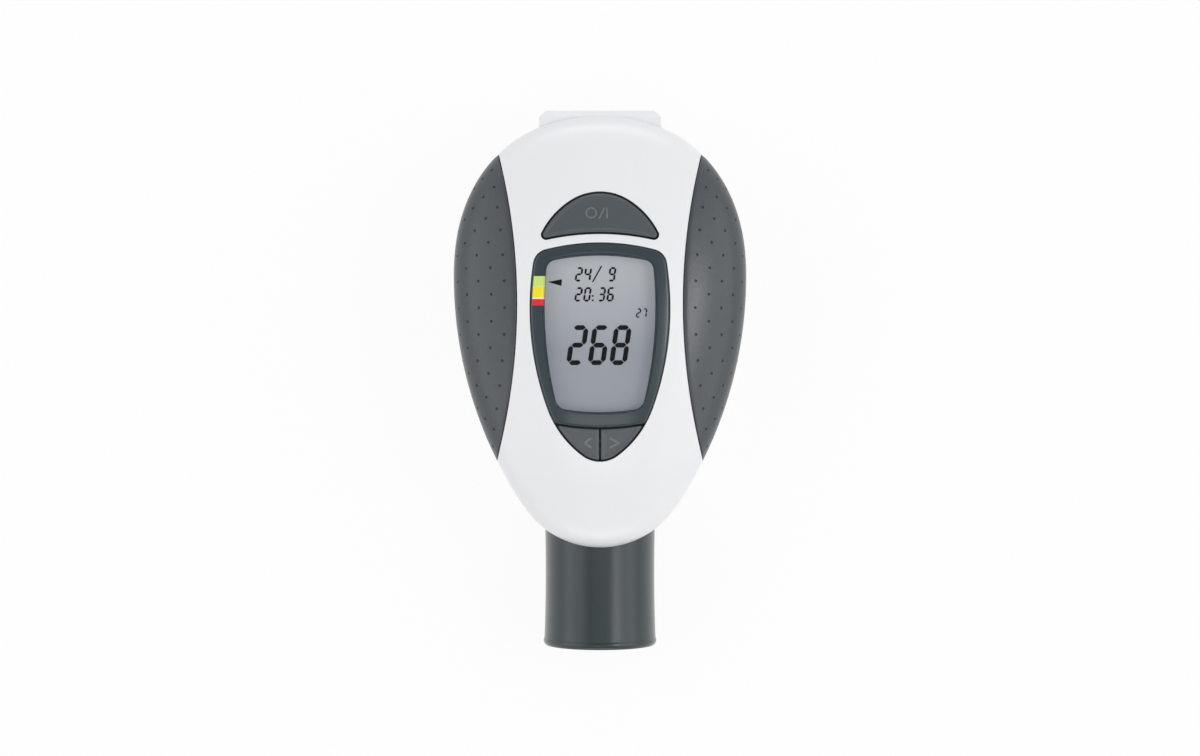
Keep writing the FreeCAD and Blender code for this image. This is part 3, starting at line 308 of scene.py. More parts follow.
def grip_ring(y):
    """Closed cross-section of the left grip: skin, back wall, inner face and front wall."""
    x, z, run = grip_run(y, 0.0)
    edge = min(GRIP_EDGE, run[-1] / EDGE_PARTS)
    outer = along_run(np.linspace(edge, run[-1] - edge, GRIP_OUTER_POINTS), x, z, run)
    inner_run = grip_run(y, GRIP_THICKNESS)
    inner = along_run(np.linspace(inner_run[-1][-1], 0, GRIP_INNER_POINTS), *inner_run)
    share = edge / GRIP_THICKNESS
    back, front = ([a + (b - a) * share for a, b in zip((x[end], z[end]), inner[other])]
                   for end, other in ((-1, 0), (0, -1)))
    return [(-a, y, b) for a, b in outer + [back] + inner + [front]]


def grip_tip(outside):
    """Where the two seams meet: the last y that still has a strip of skin between them."""
    inside = GRIP_SEAM_Y
    for _ in range(BISECTIONS):
        y = (inside + outside) / 2
        x, z = section(y)
        strip = ((x > seam_x(y)) & (z > seam_z(y))).sum() > TIP_POINTS
        inside, outside = (y, outside) if strip else (inside, y)
    return inside


grip_ends = [grip_tip(outside) for outside in GRIP_REACH]
row_turns = np.linspace(-1, 1, GRIP_ROWS)
grip_middle = (grip_ends[0] + grip_ends[1]) / 2
grip_rows = grip_middle + (grip_ends[1] - grip_ends[0]) / 2 * np.sin(row_turns * math.pi / 2)
for end in grip_ends:
    print("grip end at", end / MM, "girth there", round(grip_run(end, 0.0)[2][-1] / MM, 2), "mm")
left_grip = loft("soft_grip_left", [grip_ring(y) for y in grip_rows])
edit_all()
bpy.ops.mesh.remove_doubles(threshold=MERGE_DISTANCE)
finish_faces()
apply_modifier(left_grip, "SUBSURF", levels=1, render_levels=1)
print("grip girth at its middle", round(grip_run(GRIP_SEAM_Y, 0.0)[2][-1] / MM, 1), "mm")

# %% [markdown]
# The dimples stand in columns that keep their distance from the front seam, each half a step off its
# neighbour, and the rows close up towards both tips. The cutter is one mesh: spheres are added one by one in
# edit mode, each with its centre on the skin, so each leaves a hollow half a sphere deep.

# %% Grip: dimples
DIMPLE_RADIUS = 0.4 * MM
COLUMN_START = 3.3 * MM
COLUMN_STEP = 3.75 * MM
ROW_REACH = 46.0 * MM
ROW_TURN = 0.153
ROW_MIDDLE = 19.0 * MM
DIMPLE_MARGIN = 1.6 * MM
DIMPLE_COLUMNS = 14
ROWS_EACH_WAY = 7


def dimple_places():
    """Centre of every dimple on the skin of the left grip."""
    places = []
    for column in range(DIMPLE_COLUMNS):
        along = COLUMN_START + column * COLUMN_STEP
        for row in range(-ROWS_EACH_WAY, ROWS_EACH_WAY + 1):
            y = ROW_MIDDLE + ROW_REACH * math.sin((row + 0.5 * (column % 2)) * ROW_TURN)
            if not grip_ends[0] + DIMPLE_MARGIN < y < grip_ends[1] - DIMPLE_MARGIN:
                continue
            x, z, run = grip_run(y, 0.0)
            if along < run[-1] - DIMPLE_MARGIN:
                places.append((-float(np.interp(along, run, x)), y, float(np.interp(along, run, z))))
    return places


def dimple_cutter(places):
    """One mesh of small spheres."""
    deselect()
    for i, place in enumerate(places):
        bpy.ops.mesh.primitive_uv_sphere_add(segments=10, ring_count=6, radius=DIMPLE_RADIUS,
                                             enter_editmode=(i == 0))
        bpy.ops.transform.translate(value=place)
    bpy.ops.object.mode_set(mode="OBJECT")
    return bpy.context.active_object


dimples = dimple_places()
cutter = dimple_cutter(dimples)
apply_modifier(left_grip, "BOOLEAN", operation="DIFFERENCE", solver="EXACT", object=cutter)
bpy.data.objects.remove(cutter, do_unlink=True)
settle(left_grip, angle=30)
print("dimples on each grip", len(dimples))

# %% [markdown]
# The right grip is the left one mirrored, with a mesh of its own.

# %% Grip: the right one
right_grip = mirrored(left_grip, "soft_grip_right")
put(left_grip, "casing", "soft_grip", "left_grip")
put(right_grip, "casing", "soft_grip", "right_grip")

# %% [markdown]
# ## Outlines of tangent arcs
# The display opening, the window and the keys are drawn as a tool maker draws them: arcs that run into one
# another without a corner, each a radius and an angle, from the lowest point up one side. The other side
# mirrors them and an arc centred on the middle line closes the top.

# %% Tangent-arc outlines
SHIELD_TIP_Y = -21.3
SHIELD_TURNS = [(7.7, 36.5), (26.6, 33.6), (77.1, 28.8), (4.2, 66.7)]
WINDOW_LOW_Y = -8.3
WINDOW_TURNS = [(57.0, 9.2), (3.0, 67.4), (105.3, 18.8), (2.6, 73.0)]
POWER_LOW_Y = 38.3
POWER_TURNS = [(65.3, -12.2), (1.2, 128.9), (21.3, 31.7)]


def arc_outline(start_y, turns, inset=0.0, steps=60):
    """Dense points in millimetres round an outline, anticlockwise from its lowest point."""
    x, y, heading = 0.0, start_y + inset, 0.0
    half = [(x, y)]
    for radius, degrees in turns:
        side = math.copysign(1.0, degrees)
        r = radius - side * inset
        cx, cy = x - side * r * math.sin(heading), y + side * r * math.cos(heading)
        for i in range(1, steps + 1):
            h = heading + math.radians(degrees) * i / steps
            half.append((cx + side * r * math.sin(h), cy - side * r * math.cos(h)))
        x, y = half[-1]
        heading += math.radians(degrees)
    crown = x / math.sin(heading)
    centre_y = y + crown * math.cos(heading)
    for i in range(1, steps + 1):
        h = heading + (math.pi - heading) * i / steps
        half.append((crown * math.sin(h), centre_y - crown * math.cos(h)))
    return np.array(half + [(-a, b) for a, b in half[-2:0:-1]])


def even_ring(points, count):
    """The same closed outline with evenly spaced points."""
    loop = np.vstack([points, points[:1]])
    run = np.concatenate([[0], np.cumsum(np.hypot(*np.diff(loop, axis=0).T))])
    places = np.linspace(0, run[-1], count, endpoint=False)
    return np.column_stack([np.interp(places, run, loop[:, 0]), np.interp(places, run, loop[:, 1])])


def distance_to(points, outline):
    """Shortest distance from each point to a dense outline."""
    apart = points[:, None] - outline[None]
    return np.hypot(apart[..., 0], apart[..., 1]).min(axis=1)


print("window", np.ptp(arc_outline(WINDOW_LOW_Y, WINDOW_TURNS), axis=0).round(1), "mm")

# %% [markdown]
# ## Display frame
# A dark glossy frame holds the window in the white shell. Its outer edge is rounded over, a flat band follows
# the dome, and a bevel runs down to the window. It is one loft, whose rings go from the outer foot over the
# band and down the bevel, and the last one joins the first.

# %% Display frame: rings
FRAME_GAP = 0.15
FRAME_SINK = 0.2 * MM
FRAME_SEAT_Z = 44.2
FRAME_END_Y = -12.4
FRAME_END_RADIUS = 60.0
FRAME_ROUNDING = 0.75
ROUNDING_DEPTH = 0.6
ROUNDING_SHARES = (0.0, 0.12, 0.35, 0.65, 1.0)
BEVEL_REACH = 1.7
BEVEL_FOOT_Z = 46.0
BEVEL_SLOPE = 2.3 / 1.7
BEVEL_TOP = ((1.12, 0.0), (0.92, -0.06))
BEVEL_TOE = 0.08
BEVEL_STEP = 0.1
BEVEL_PASSES = 3
LENS_SEAT_Z = 45.48
LENS_SEAT_REACH = 1.08
FRAME_CENTRE_Y = 12.0
FRAME_POINTS = 240
SHIELD_POINTS = 1600
FOOT_POINTS = 200
RAY_POINTS = 2000

window_line = arc_outline(WINDOW_LOW_Y, WINDOW_TURNS)


def foot_y(x, gap):
    """Y of the frame's curved foot at x, or of an arc this far below it."""
    return FRAME_END_Y + FRAME_END_RADIUS - np.sqrt((FRAME_END_RADIUS + gap) ** 2 - x ** 2)


def turns_of(points):
    """Directions in which points are seen from the frame's centre."""
    return np.arctan2(points[:, 1] - FRAME_CENTRE_Y, points[:, 0])


def frame_outline(inset):
    """Outer outline of the frame: the shield, cut off below by a large arc."""
    shield = even_ring(arc_outline(SHIELD_TIP_Y, SHIELD_TURNS, FRAME_GAP + inset), SHIELD_POINTS)
    kept = shield[shield[:, 1] > foot_y(shield[:, 0], -inset)]
    reach = kept[:, 0][np.argmin(kept[:, 1])]
    across = np.linspace(-abs(reach), abs(reach), FOOT_POINTS)[1:-1]
    order = np.argsort((turns_of(kept) + math.pi / 2) % (2 * math.pi))
    return np.vstack([kept[order], np.column_stack([across, foot_y(across, -inset)])])


def at_turns(outline, turns):
    """Points where an outline crosses rays from the frame's centre."""
    turn = turns_of(outline)
    reach = np.hypot(outline[:, 0], outline[:, 1] - FRAME_CENTRE_Y)
    order = np.argsort(turn)
    r = np.interp(turns, turn[order], reach[order], period=2 * math.pi)
    return np.column_stack([r * np.cos(turns), FRAME_CENTRE_Y + r * np.sin(turns)])


def skin_z(points, inset):
    """Height of the dome over points, all in millimetres."""
    return dome_z(points[:, 0] * MM, points[:, 1] * MM, inset) / MM


def rounded_drop(share):
    """How far the rounded outer edge lies below the band, at a share of the rounding's width."""
    return FRAME_ROUNDING * ROUNDING_DEPTH * (1 - np.sqrt(1 - (1 - share) ** 2))


def level(points, z):
    """Ring in metres from points in millimetres and a height or heights."""
    heights = np.broadcast_to(z, len(points))
    return [(a * MM, b * MM, c * MM) for (a, b), c in zip(points, heights)]


def frame_rings(turns):
    """Every ring of the frame, from the outer foot over the top to the lens seat."""
    rings = [level(at_turns(frame_outline(0.0), turns), FRAME_SEAT_Z)]
    for share in ROUNDING_SHARES:
        line = at_turns(frame_outline(FRAME_ROUNDING * share), turns)
        rings.append(level(line, skin_z(line, FRAME_SINK) - rounded_drop(share)))
    foot, rim, seat = (at_turns(arc_outline(WINDOW_LOW_Y, WINDOW_TURNS, -reach), turns)
                       for reach in (0.0, BEVEL_REACH, LENS_SEAT_REACH))
    grown = np.full(len(turns), BEVEL_REACH)
    for _ in range(BEVEL_PASSES):
        top = foot + (rim - foot) * (grown / BEVEL_REACH)[:, None]
        grown = np.minimum((skin_z(top, FRAME_SINK) - BEVEL_FOOT_Z) / BEVEL_SLOPE, BEVEL_REACH)
    for share, lift in BEVEL_TOP:
        line = foot + (rim - foot) * (grown / BEVEL_REACH * share)[:, None]
        slope = BEVEL_FOOT_Z + BEVEL_SLOPE * grown * share
        rings.append(level(line, np.minimum(skin_z(line, FRAME_SINK), slope) + lift))
    toe = foot + (rim - foot) * BEVEL_TOE
    return rings + [level(toe, BEVEL_FOOT_Z + BEVEL_SLOPE * BEVEL_REACH * BEVEL_TOE),
                    level(foot, BEVEL_FOOT_Z - BEVEL_STEP), level(foot, LENS_SEAT_Z),
                    level(seat, LENS_SEAT_Z), level(seat, FRAME_SEAT_Z)]


all_round = np.linspace(-math.pi, math.pi, RAY_POINTS, endpoint=False)
frame_edge = even_ring(at_turns(frame_outline(0.0), all_round), FRAME_POINTS)
display_frame = loft("display_frame", frame_rings(turns_of(frame_edge)), closed=True)
settle(display_frame, angle=40)
put(display_frame, "casing", "bezel", "display_bezel")

# %% [markdown]
# ## Zone label
# A thin printed label lies on the left side of the frame and folds down its bevel. A flat sheet would float
# over it, so a grid is let down onto the frame: each point takes the height of the frame under it, worked out
# from its distance to the frame's edge and to the window.

# %% Zone label: a grid on the frame
LABEL_LOW_Y = 19.5
LABEL_HIGH_Y = 27.15
LABEL_LIFT = 0.03
LABEL_THICKNESS = 0.05 * MM
LABEL_COLUMNS = 18
LABEL_ROWS = 24
LABEL_OUTER_MARGIN = 0.55
LABEL_INNER_MARGIN = 0.12
WINDOW_POINTS = 2400
LEFT_OF_X = -5
SIDE_LOW_Y, SIDE_HIGH_Y = 0, 31


def frame_z(points):
    """Height of the frame's top over points in millimetres."""
    share = np.minimum(distance_to(points, frame_outline(0.0)) / FRAME_ROUNDING, 1.0)
    slope = BEVEL_FOOT_Z + BEVEL_SLOPE * distance_to(points, even_ring(window_line, WINDOW_POINTS))
    return np.minimum(skin_z(points, FRAME_SINK) - rounded_drop(share), slope)


def left_edge(outline, y):
    """X of the left side of an outline at y."""
    x, height = outline.T
    left = outline[(x < LEFT_OF_X) & (height > SIDE_LOW_Y) & (height < SIDE_HIGH_Y)]
    order = np.argsort(left[:, 1])
    return np.interp(y, left[order, 1], left[order, 0])


deselect()
bpy.ops.mesh.primitive_grid_add(x_subdivisions=LABEL_COLUMNS, y_subdivisions=LABEL_ROWS, size=1.0)
label = active_named("zone_label_print")
spots = np.array([[v.co.x + 0.5, v.co.y + 0.5] for v in label.data.vertices])
label_y = LABEL_LOW_Y + (LABEL_HIGH_Y - LABEL_LOW_Y) * spots[:, 1]
outer = left_edge(frame_outline(0.0), label_y) + LABEL_OUTER_MARGIN
inner = left_edge(window_line, label_y) - LABEL_INNER_MARGIN
label_x = outer + (inner - outer) * spots[:, 0]
label_z = frame_z(np.column_stack([label_x, label_y])) + LABEL_LIFT
for vertex, x, y, z in zip(label.data.vertices, label_x, label_y, label_z):
    vertex.co = (x * MM, y * MM, z * MM)
apply_modifier(label, "SOLIDIFY", thickness=LABEL_THICKNESS, offset=-1.0)
settle(label, angle=40)
put(label, "casing", "label", "zone_label")

# %% [markdown]
# ## Keys
# The keys are moulded rubber caps on a thin flange that stops them under the shell. Each has a rounded edge,
# a narrow raised rim and a shallow dish inside it, which catches the light. A cap is one loft, from under the
# flange over the rim and in towards the middle. `KEY_PROFILE` lists how far inside the border each ring lies
# and how far below the skin. Rays from the middle of the key find where.

# %% Keys: rings at an even distance from the border
KEY_FLANGE_FOOT_Z = 41.15
KEY_FLANGE_TOP_Z = 42.25
KEY_FLANGE_REACH = 0.9
KEY_SHRINK = 0.21
KEY_DISH_DEPTH = 0.24
KEY_PROFILE = [(0.001, 0.42), (0.05, 0.32), (0.13, 0.24), (0.32, 0.12), (0.52, 0.01), (0.62, 0.0),
               (0.72, 0.03), (0.88, 0.14), (1.04, 0.22), (1.3, 0.24)]
DISH_SHARES = (0.8, 0.6, 0.4, 0.2, 0.03)
KEY_POINTS = 180
KEY_CORNER = 0.45
KEY_DENSE_POINTS = 1500
KEY_CORNER_POINTS = 700
KEY_BISECTIONS = 18
POWER_GAP = 0.15
ARROW_GAP = 0.2
ARROW_SIDE_GAP = 0.3
FLANGE_SPLIT = 0.2
POWER_RISE = 0.35 * MM
ARROW_RISE = 0.05 * MM
POWER_CENTRE = (0.0, 42.3)
ARROW_CENTRE = (4.0, -15.7)


def inset_ring(outline, centre, ring, inset):
    """Points on the rays from the centre to a ring that lie this far inside the outline."""
    dense = even_ring(outline, KEY_DENSE_POINTS)
    low, high = np.zeros(len(ring)), np.ones(len(ring))
    for _ in range(KEY_BISECTIONS):
        share = (low + high) / 2
        inside = distance_to(centre + (ring - centre) * share[:, None], dense) > inset
        low, high = np.where(inside, share, low), np.where(inside, high, share)
    return centre + (ring - centre) * low[:, None]


def grown_ring(ring, reach):
    """An anticlockwise ring moved outwards along its normals."""
    along = np.roll(ring, -1, axis=0) - np.roll(ring, 1, axis=0)
    along /= np.hypot(along[:, 0], along[:, 1])[:, None]
    return ring + np.column_stack([along[:, 1], -along[:, 0]]) * reach


def under_frame(ring):
    """Keeps a ring of the right arrow key on its own side of the split and below the frame's foot."""
    x = np.maximum(ring[:, 0], FLANGE_SPLIT)
    return np.column_stack([x, np.minimum(ring[:, 1], foot_y(x, ARROW_GAP))])


def key_cap(name, outline, centre, rise, bounds=None):
    """Loft of one key from a border in millimetres. Bounds keep its flange clear of its neighbours."""
    centre = np.array(centre)
    soft = inset_ring(outline, centre, even_ring(outline, KEY_CORNER_POINTS), KEY_CORNER)
    soft = grown_ring(soft, KEY_CORNER - KEY_SHRINK)
    border = even_ring(soft, KEY_POINTS)
    flange = grown_ring(border, KEY_FLANGE_REACH)
    flange = bounds(flange) if bounds else flange
    rings = [level(flange, KEY_FLANGE_FOOT_Z), level(flange, KEY_FLANGE_TOP_Z),
             level(border, KEY_FLANGE_TOP_Z)]
    for inset, drop in KEY_PROFILE:
        line = inset_ring(soft, centre, border, inset)
        rings.append(level(line, skin_z(line, -rise) - drop))
    for share in DISH_SHARES:
        inner_line = centre + (line - centre) * share
        rings.append(level(inner_line, skin_z(inner_line, -rise) - KEY_DISH_DEPTH))
    return settle(loft(name, rings), angle=40)


# %% Keys: borders and caps
ARROW_TOP_POINTS = 60
ARROW_SPLIT_POINTS = 50


def right_arrow_border():
    """Right half of the lower end of the shield, under the frame's curved foot."""
    shield = arc_outline(SHIELD_TIP_Y, SHIELD_TURNS, ARROW_SIDE_GAP)
    flank = shield[(shield[:, 0] >= 0) & (shield[:, 1] < foot_y(shield[:, 0], ARROW_GAP))]
    across = np.linspace(flank[-1, 0], 0, ARROW_TOP_POINTS)[1:]
    top = np.column_stack([across, foot_y(across, ARROW_GAP)])
    down = np.linspace(top[-1, 1], flank[0, 1], ARROW_SPLIT_POINTS)[1:-1]
    return np.vstack([flank, top, np.column_stack([np.zeros(len(down)), down])])


power_line = arc_outline(POWER_LOW_Y, POWER_TURNS, POWER_GAP)
power_key = key_cap("power_key_cap", power_line, POWER_CENTRE, POWER_RISE)
right_key = key_cap("right_arrow_cap", right_arrow_border(), ARROW_CENTRE, ARROW_RISE, under_frame)
left_key = mirrored(right_key, "left_arrow_cap")
put(power_key, "power_key", "dark_key", "power_button")
put(right_key, "right_key", "dark_key", "right_arrow_button")
put(left_key, "left_key", "dark_key", "left_arrow_button")

# %% [markdown]
# ## Figures on the display
# Such a display shows its figures by dark segments between two sheets of glass. A segment is a small hexagon
# with pointed ends, and a digit has up to seven and leans a little to the right. They are thin plates on the
# display glass: flat hexagons added in edit mode and extruded together. The figures are plain numbers.

# %% Figures: segments and digits
GLASS_TOP_Z = 42.5
FIGURE_LIFT = 0.02
SEGMENT_HEIGHT = 0.05
SEGMENT_GAP_SHARE = 0.1
LEAN = math.tan(math.radians(8.0))
DIGIT_SEGMENTS = {"0": "abcdef", "2": "abged", "3": "abgcd", "4": "fgbc", "6": "afgedc", "7": "abc",
                  "8": "abcdefg", "9": "abcdfg"}


def direction(start, end):
    """Direction from one point to another, one long."""
    return (end - start) / np.hypot(*(end - start))


def bar_points(start, end, thick):
    """Six corners of a bar with pointed ends."""
    start, end = np.array(start, float), np.array(end, float)
    along = direction(start, end)
    side = np.array([-along[1], along[0]]) * thick / 2
    tip = along * thick / 2
    return [start, start + tip - side, end - tip - side, end, end - tip + side, start + tip + side]


def digit_bars(digit, x, y, width, height, thick):
    """Bars of the segments of one digit, whose lower left corner is at x, y."""
    left, right = x + thick / 2, x + width - thick / 2
    low, middle, high = y + thick / 2, y + height / 2, y + height - thick / 2
    ends = {"a": ((left, high), (right, high)), "b": ((right, middle), (right, high)),
            "c": ((right, low), (right, middle)), "d": ((left, low), (right, low)),
            "e": ((left, low), (left, middle)), "f": ((left, middle), (left, high)),
            "g": ((left, middle), (right, middle))}
    bars = []
    for letter in DIGIT_SEGMENTS[digit]:
        start, end = (np.array(p) for p in ends[letter])
        trim = direction(start, end) * (thick * SEGMENT_GAP_SHARE)
        bars.append(bar_points(start + trim, end - trim, thick))
    return [[(px + (py - y) * LEAN, py) for px, py in bar] for bar in bars]


def plates(name, shapes):
    """Thin plates on the display glass, one for each shape."""
    deselect()
    for i, shape in enumerate(shapes):
        bpy.ops.mesh.primitive_circle_add(vertices=len(shape), fill_type="NGON", enter_editmode=(i == 0))
        place_selected([(px * MM, py * MM, (GLASS_TOP_Z + FIGURE_LIFT) * MM) for px, py in shape])
    bpy.ops.mesh.select_all(action="SELECT")
    bpy.ops.mesh.extrude_region_move(TRANSFORM_OT_translate={"value": (0, 0, SEGMENT_HEIGHT * MM)})
    finish_faces()
    obj = settle(active_named(name), angle=20)
    put(obj, "casing", "lcd")
    return obj


# %% Figures: the rows of the display
# width, height, thickness and step of the digits
DATE_DIGITS = (1.85, 3.78, 0.52, 2.3)
RECORD_DIGITS = (1.2, 2.5, 0.38, 1.6)
VALUE_DIGITS = (4.6, 10.45, 1.26, 5.65)
DATE_Y, TIME_Y = 25.9, 20.65
DATE_SLASH = ((-2.0, 25.65), (0.45, 30.05), 0.36)
COLON_DOT = [(-2.15, 0.0), (-1.7, 0.0), (-1.65, 0.45), (-2.1, 0.45)]
COLON_YS = (20.75, 21.9)
POINTER = [(-13.75, 25.8), (-10.1, 24.75), (-10.0, 26.5)]


def row(digits, x, y, size):
    """Bars of a row of digits."""
    return [bar for i, digit in enumerate(digits) for bar in digit_bars(digit, x + i * size[3], y, *size[:3])]


date_bars = row("24", -6.7, DATE_Y, DATE_DIGITS) + row("9", 2.0, DATE_Y, DATE_DIGITS)
date_bars.append(bar_points(*DATE_SLASH))
time_bars = row("20", -6.8, TIME_Y, DATE_DIGITS) + row("36", -0.7, TIME_Y, DATE_DIGITS)
time_bars += [[(x, y + low) for x, y in COLON_DOT] for low in COLON_YS]
figures = [plates("figures_date", date_bars), plates("figures_time", time_bars),
           plates("figures_record", row("27", 9.35, 16.4, RECORD_DIGITS)),
           plates("figures_value", row("268", -8.95, 4.0, VALUE_DIGITS)),
           plates("zone_pointer", [POINTER])]

# %% [markdown]
# ## Marks on the keys
# The keys carry raised marks from the mould: a ring, a slash and a bar on the power key, and an arrow head on
# each arrow key. Each is modelled flat, from a torus or a capsule, and let down onto the key's curved top, so
# it follows the surface and stays half sunk in it.

# %% Marks: ridges on the key tops
POWER_RIDGE = 0.23
ARROW_RIDGE = 0.42
RIDGE_SINK = 0.4
RING_CENTRE, RING_RADIUS = (-2.3, 43.65), 1.3
SLASH = ((-0.15, 42.25), (1.05, 44.9))
BAR = ((1.82, 42.35), (1.82, 44.9))
LEFT_HEAD = [(-2.55, -15.2), (-3.92, -16.32), (-2.5, -17.45)]
RIGHT_HEAD = [(2.8, -15.2), (4.75, -16.32), (2.8, -17.45)]


def ridge(start, end, radius):
    """Rounded bar between two points in millimetres, lying on the plane z = 0."""
    start, end = np.array(start, float), np.array(end, float)
    middle, length = (start + end) / 2, np.hypot(*(end - start))
    turn = math.atan2(end[1] - start[1], end[0] - start[0])
    deselect()
    bpy.ops.mesh.primitive_uv_sphere_add(segments=12, ring_count=10, radius=radius * MM,
                                         rotation=(0, math.pi / 2, 0))
    obj = bpy.context.active_object
    apply_place()
    for vertex in obj.data.vertices:
        vertex.co.x += math.copysign(length / 2 * MM, vertex.co.x) if abs(vertex.co.x) > 1e-9 else 0
    obj.rotation_euler = (0, 0, turn)
    obj.location = (middle[0] * MM, middle[1] * MM, 0)
    apply_place()
    return obj


def ring_ridge(centre, radius, thick):
    """Rounded ring in millimetres, lying on the plane z = 0."""
    deselect()
    bpy.ops.mesh.primitive_torus_add(location=(centre[0] * MM, centre[1] * MM, 0), major_radius=radius * MM,
                                     minor_radius=thick * MM, major_segments=56, minor_segments=10)
    apply_place()
    return bpy.context.active_object


def key_mark(name, body, parts, rise, thick):
    """Joins ridges and lets them down onto the key's dished top, a little sunk."""
    select_only(*parts)
    if len(parts) > 1:
        bpy.ops.object.join()
    obj = active_named(name)
    vertices = obj.data.vertices
    ground = dome_z([v.co.x for v in vertices], [v.co.y for v in vertices], -rise)
    for vertex, height in zip(vertices, ground):
        vertex.co.z += height - (KEY_DISH_DEPTH + RIDGE_SINK * thick) * MM
    settle(obj, angle=50)
    put(obj, body, "dark_key")
    return obj


power_parts = [ring_ridge(RING_CENTRE, RING_RADIUS, POWER_RIDGE), ridge(*SLASH, POWER_RIDGE),
               ridge(*BAR, POWER_RIDGE)]
left_parts, right_parts = ([ridge(start, end, ARROW_RIDGE) for start, end in zip(head, head[1:])]
                           for head in (LEFT_HEAD, RIGHT_HEAD))
marks = [key_mark("power_mark", "power_key", power_parts, POWER_RISE, POWER_RIDGE),
         key_mark("left_arrow_mark", "left_key", left_parts, ARROW_RISE, ARROW_RIDGE),
         key_mark("right_arrow_mark", "right_key", right_parts, ARROW_RISE, ARROW_RIDGE)]

# %% [markdown]
# ## Finishes: shared effects
# Two effects show on nearly every moulded surface: the fine grain that the mould leaves, and the faint
# patches that handling leaves in the gloss. Each is a node group, built once and placed in every material
# with its own values. A group only puts out values; the shader stays in the material.

# %% Node groups: mould grain and handling patches
def new_group(name, inputs, outputs):
    """Empty node group with these sockets, and its two end nodes."""
    group = bpy.data.node_groups.new(name, "ShaderNodeTree")
    for side, sockets in (("INPUT", inputs), ("OUTPUT", outputs)):
        for socket, kind in sockets.items():
            group.interface.new_socket(socket, in_out=side, socket_type="NodeSocket" + kind)
    return group, group.nodes.new("NodeGroupInput"), group.nodes.new("NodeGroupOutput")


def plug(tree, socket, value):
    """Links an input to another node's output, or gives it a plain value."""
    if isinstance(value, bpy.types.NodeSocket):
        tree.links.new(value, socket)
    else:
        socket.default_value = value


def feed(tree, target, **values):
    """Sets a node's inputs and settings by name, with _ for a space."""
    for key, value in values.items():
        socket = target.inputs.get(key.replace("_", " "))
        if socket is None:
            setattr(target, key, value)
        else:
            plug(tree, socket, value)
    return target


def node(tree, kind, **values):
    """New node of a kind, with its inputs and settings."""
    return feed(tree, tree.nodes.new("ShaderNode" + kind), **values)


def sums(tree, operation, *values, clamp=False):
    """Output of a math node over numbers or links."""
    made = node(tree, "Math", operation=operation, use_clamp=clamp)
    for socket, value in zip(made.inputs, values):
        plug(tree, socket, value)
    return made.outputs[0]


def noise(tree, scale, detail, roughness):
    """Noise on the object's own coordinates."""
    place = node(tree, "TexCoord").outputs["Object"]
    made = node(tree, "TexNoise", Vector=place, Scale=scale, Detail=detail, Roughness=roughness)
    return made.outputs["Fac"]


PEEL_SCALE_SHARE = 0.22
PEEL_WEIGHT = 1.6
PATCH_SCALE = 55.0
SPECK_SCALE = 900.0
SPECK_WEIGHT = 0.35


def mould_grain_group():
    """Grain height from fine noise over coarser orange peel."""
    group, start, end = new_group("mould_grain", {"Scale": "Float"}, {"Height": "Float"})
    scale = start.outputs["Scale"]
    fine = noise(group, scale, 2.0, 0.5)
    peel = noise(group, sums(group, "MULTIPLY", scale, PEEL_SCALE_SHARE), 1.0, 0.5)
    feed(group, end, Height=sums(group, "MULTIPLY_ADD", peel, PEEL_WEIGHT, fine))
    return group


def handling_group():
    """Roughness and colour that drift a little in soft patches."""
    group, start, end = new_group(
        "handling", {"Roughness": "Float", "Drift": "Float", "Colour": "Color", "Second Colour": "Color"},
        {"Roughness": "Float", "Colour": "Color"})
    given = start.outputs
    patches = noise(group, PATCH_SCALE, 4.0, 0.55)
    specks = noise(group, SPECK_SCALE, 2.0, 0.5)
    rough = sums(group, "MULTIPLY_ADD", sums(group, "SUBTRACT", patches, 0.5), given["Drift"],
                 given["Roughness"], clamp=True)
    blend = sums(group, "MULTIPLY_ADD", specks, SPECK_WEIGHT, patches, clamp=True)
    colour = node(group, "Mix", data_type="RGBA", Factor=blend, A=given["Colour"], B=given["Second Colour"])
    feed(group, end, Roughness=rough, Colour=colour.outputs["Result"])
    return group


MOULD_GRAIN = mould_grain_group()
HANDLING = handling_group()
print("groups", MOULD_GRAIN.name, HANDLING.name)

# %% [markdown]
# ## Finishes: moulded plastic and rubber
# `moulded` builds one such material: the two groups feed colour, roughness and a very shallow bump, and the
# shader's own sockets hold what is the same all over. `MOULDED` has a row for each finish. Its colours are
# screen values, which `linear` turns into what the shader wants, and grey where a pattern covers them later.

# %% Materials: moulded
def linear(colour):
    """Linear colour from screen values of 0 to 255."""
    parts = [c / 255 for c in colour]
    return tuple(c / 12.92 if c <= 0.04045 else ((c + 0.055) / 1.055) ** 2.4 for c in parts) + (1.0,)


def new_material(name):
    """A new material, its node tree and its shader."""
    material = bpy.data.materials.new(name)
    material.use_nodes = True
    return material, material.node_tree, material.node_tree.nodes["Principled BSDF"]


BUMP_DISTANCE = 0.0002


def moulded(name, colour, second, roughness, drift=0.06, grain=4000.0, depth=0.05, sockets=()):
    """Material of a moulded piece in two screen colours, with other sockets of the shader by name."""
    material, tree, shader = new_material(name)
    feel = node(tree, "Group", node_tree=HANDLING, Roughness=roughness, Drift=drift,
                Colour=linear(colour), Second_Colour=linear(second)).outputs
    height = node(tree, "Group", node_tree=MOULD_GRAIN, Scale=grain).outputs["Height"]
    bump = node(tree, "Bump", Strength=depth, Distance=BUMP_DISTANCE, Height=height)
    feed(tree, shader, Base_Color=feel["Colour"], Roughness=feel["Roughness"],
         Normal=bump.outputs["Normal"], **dict(sockets))
    return material


# %% Materials: one row for each finish
GREY = (128, 128, 128)
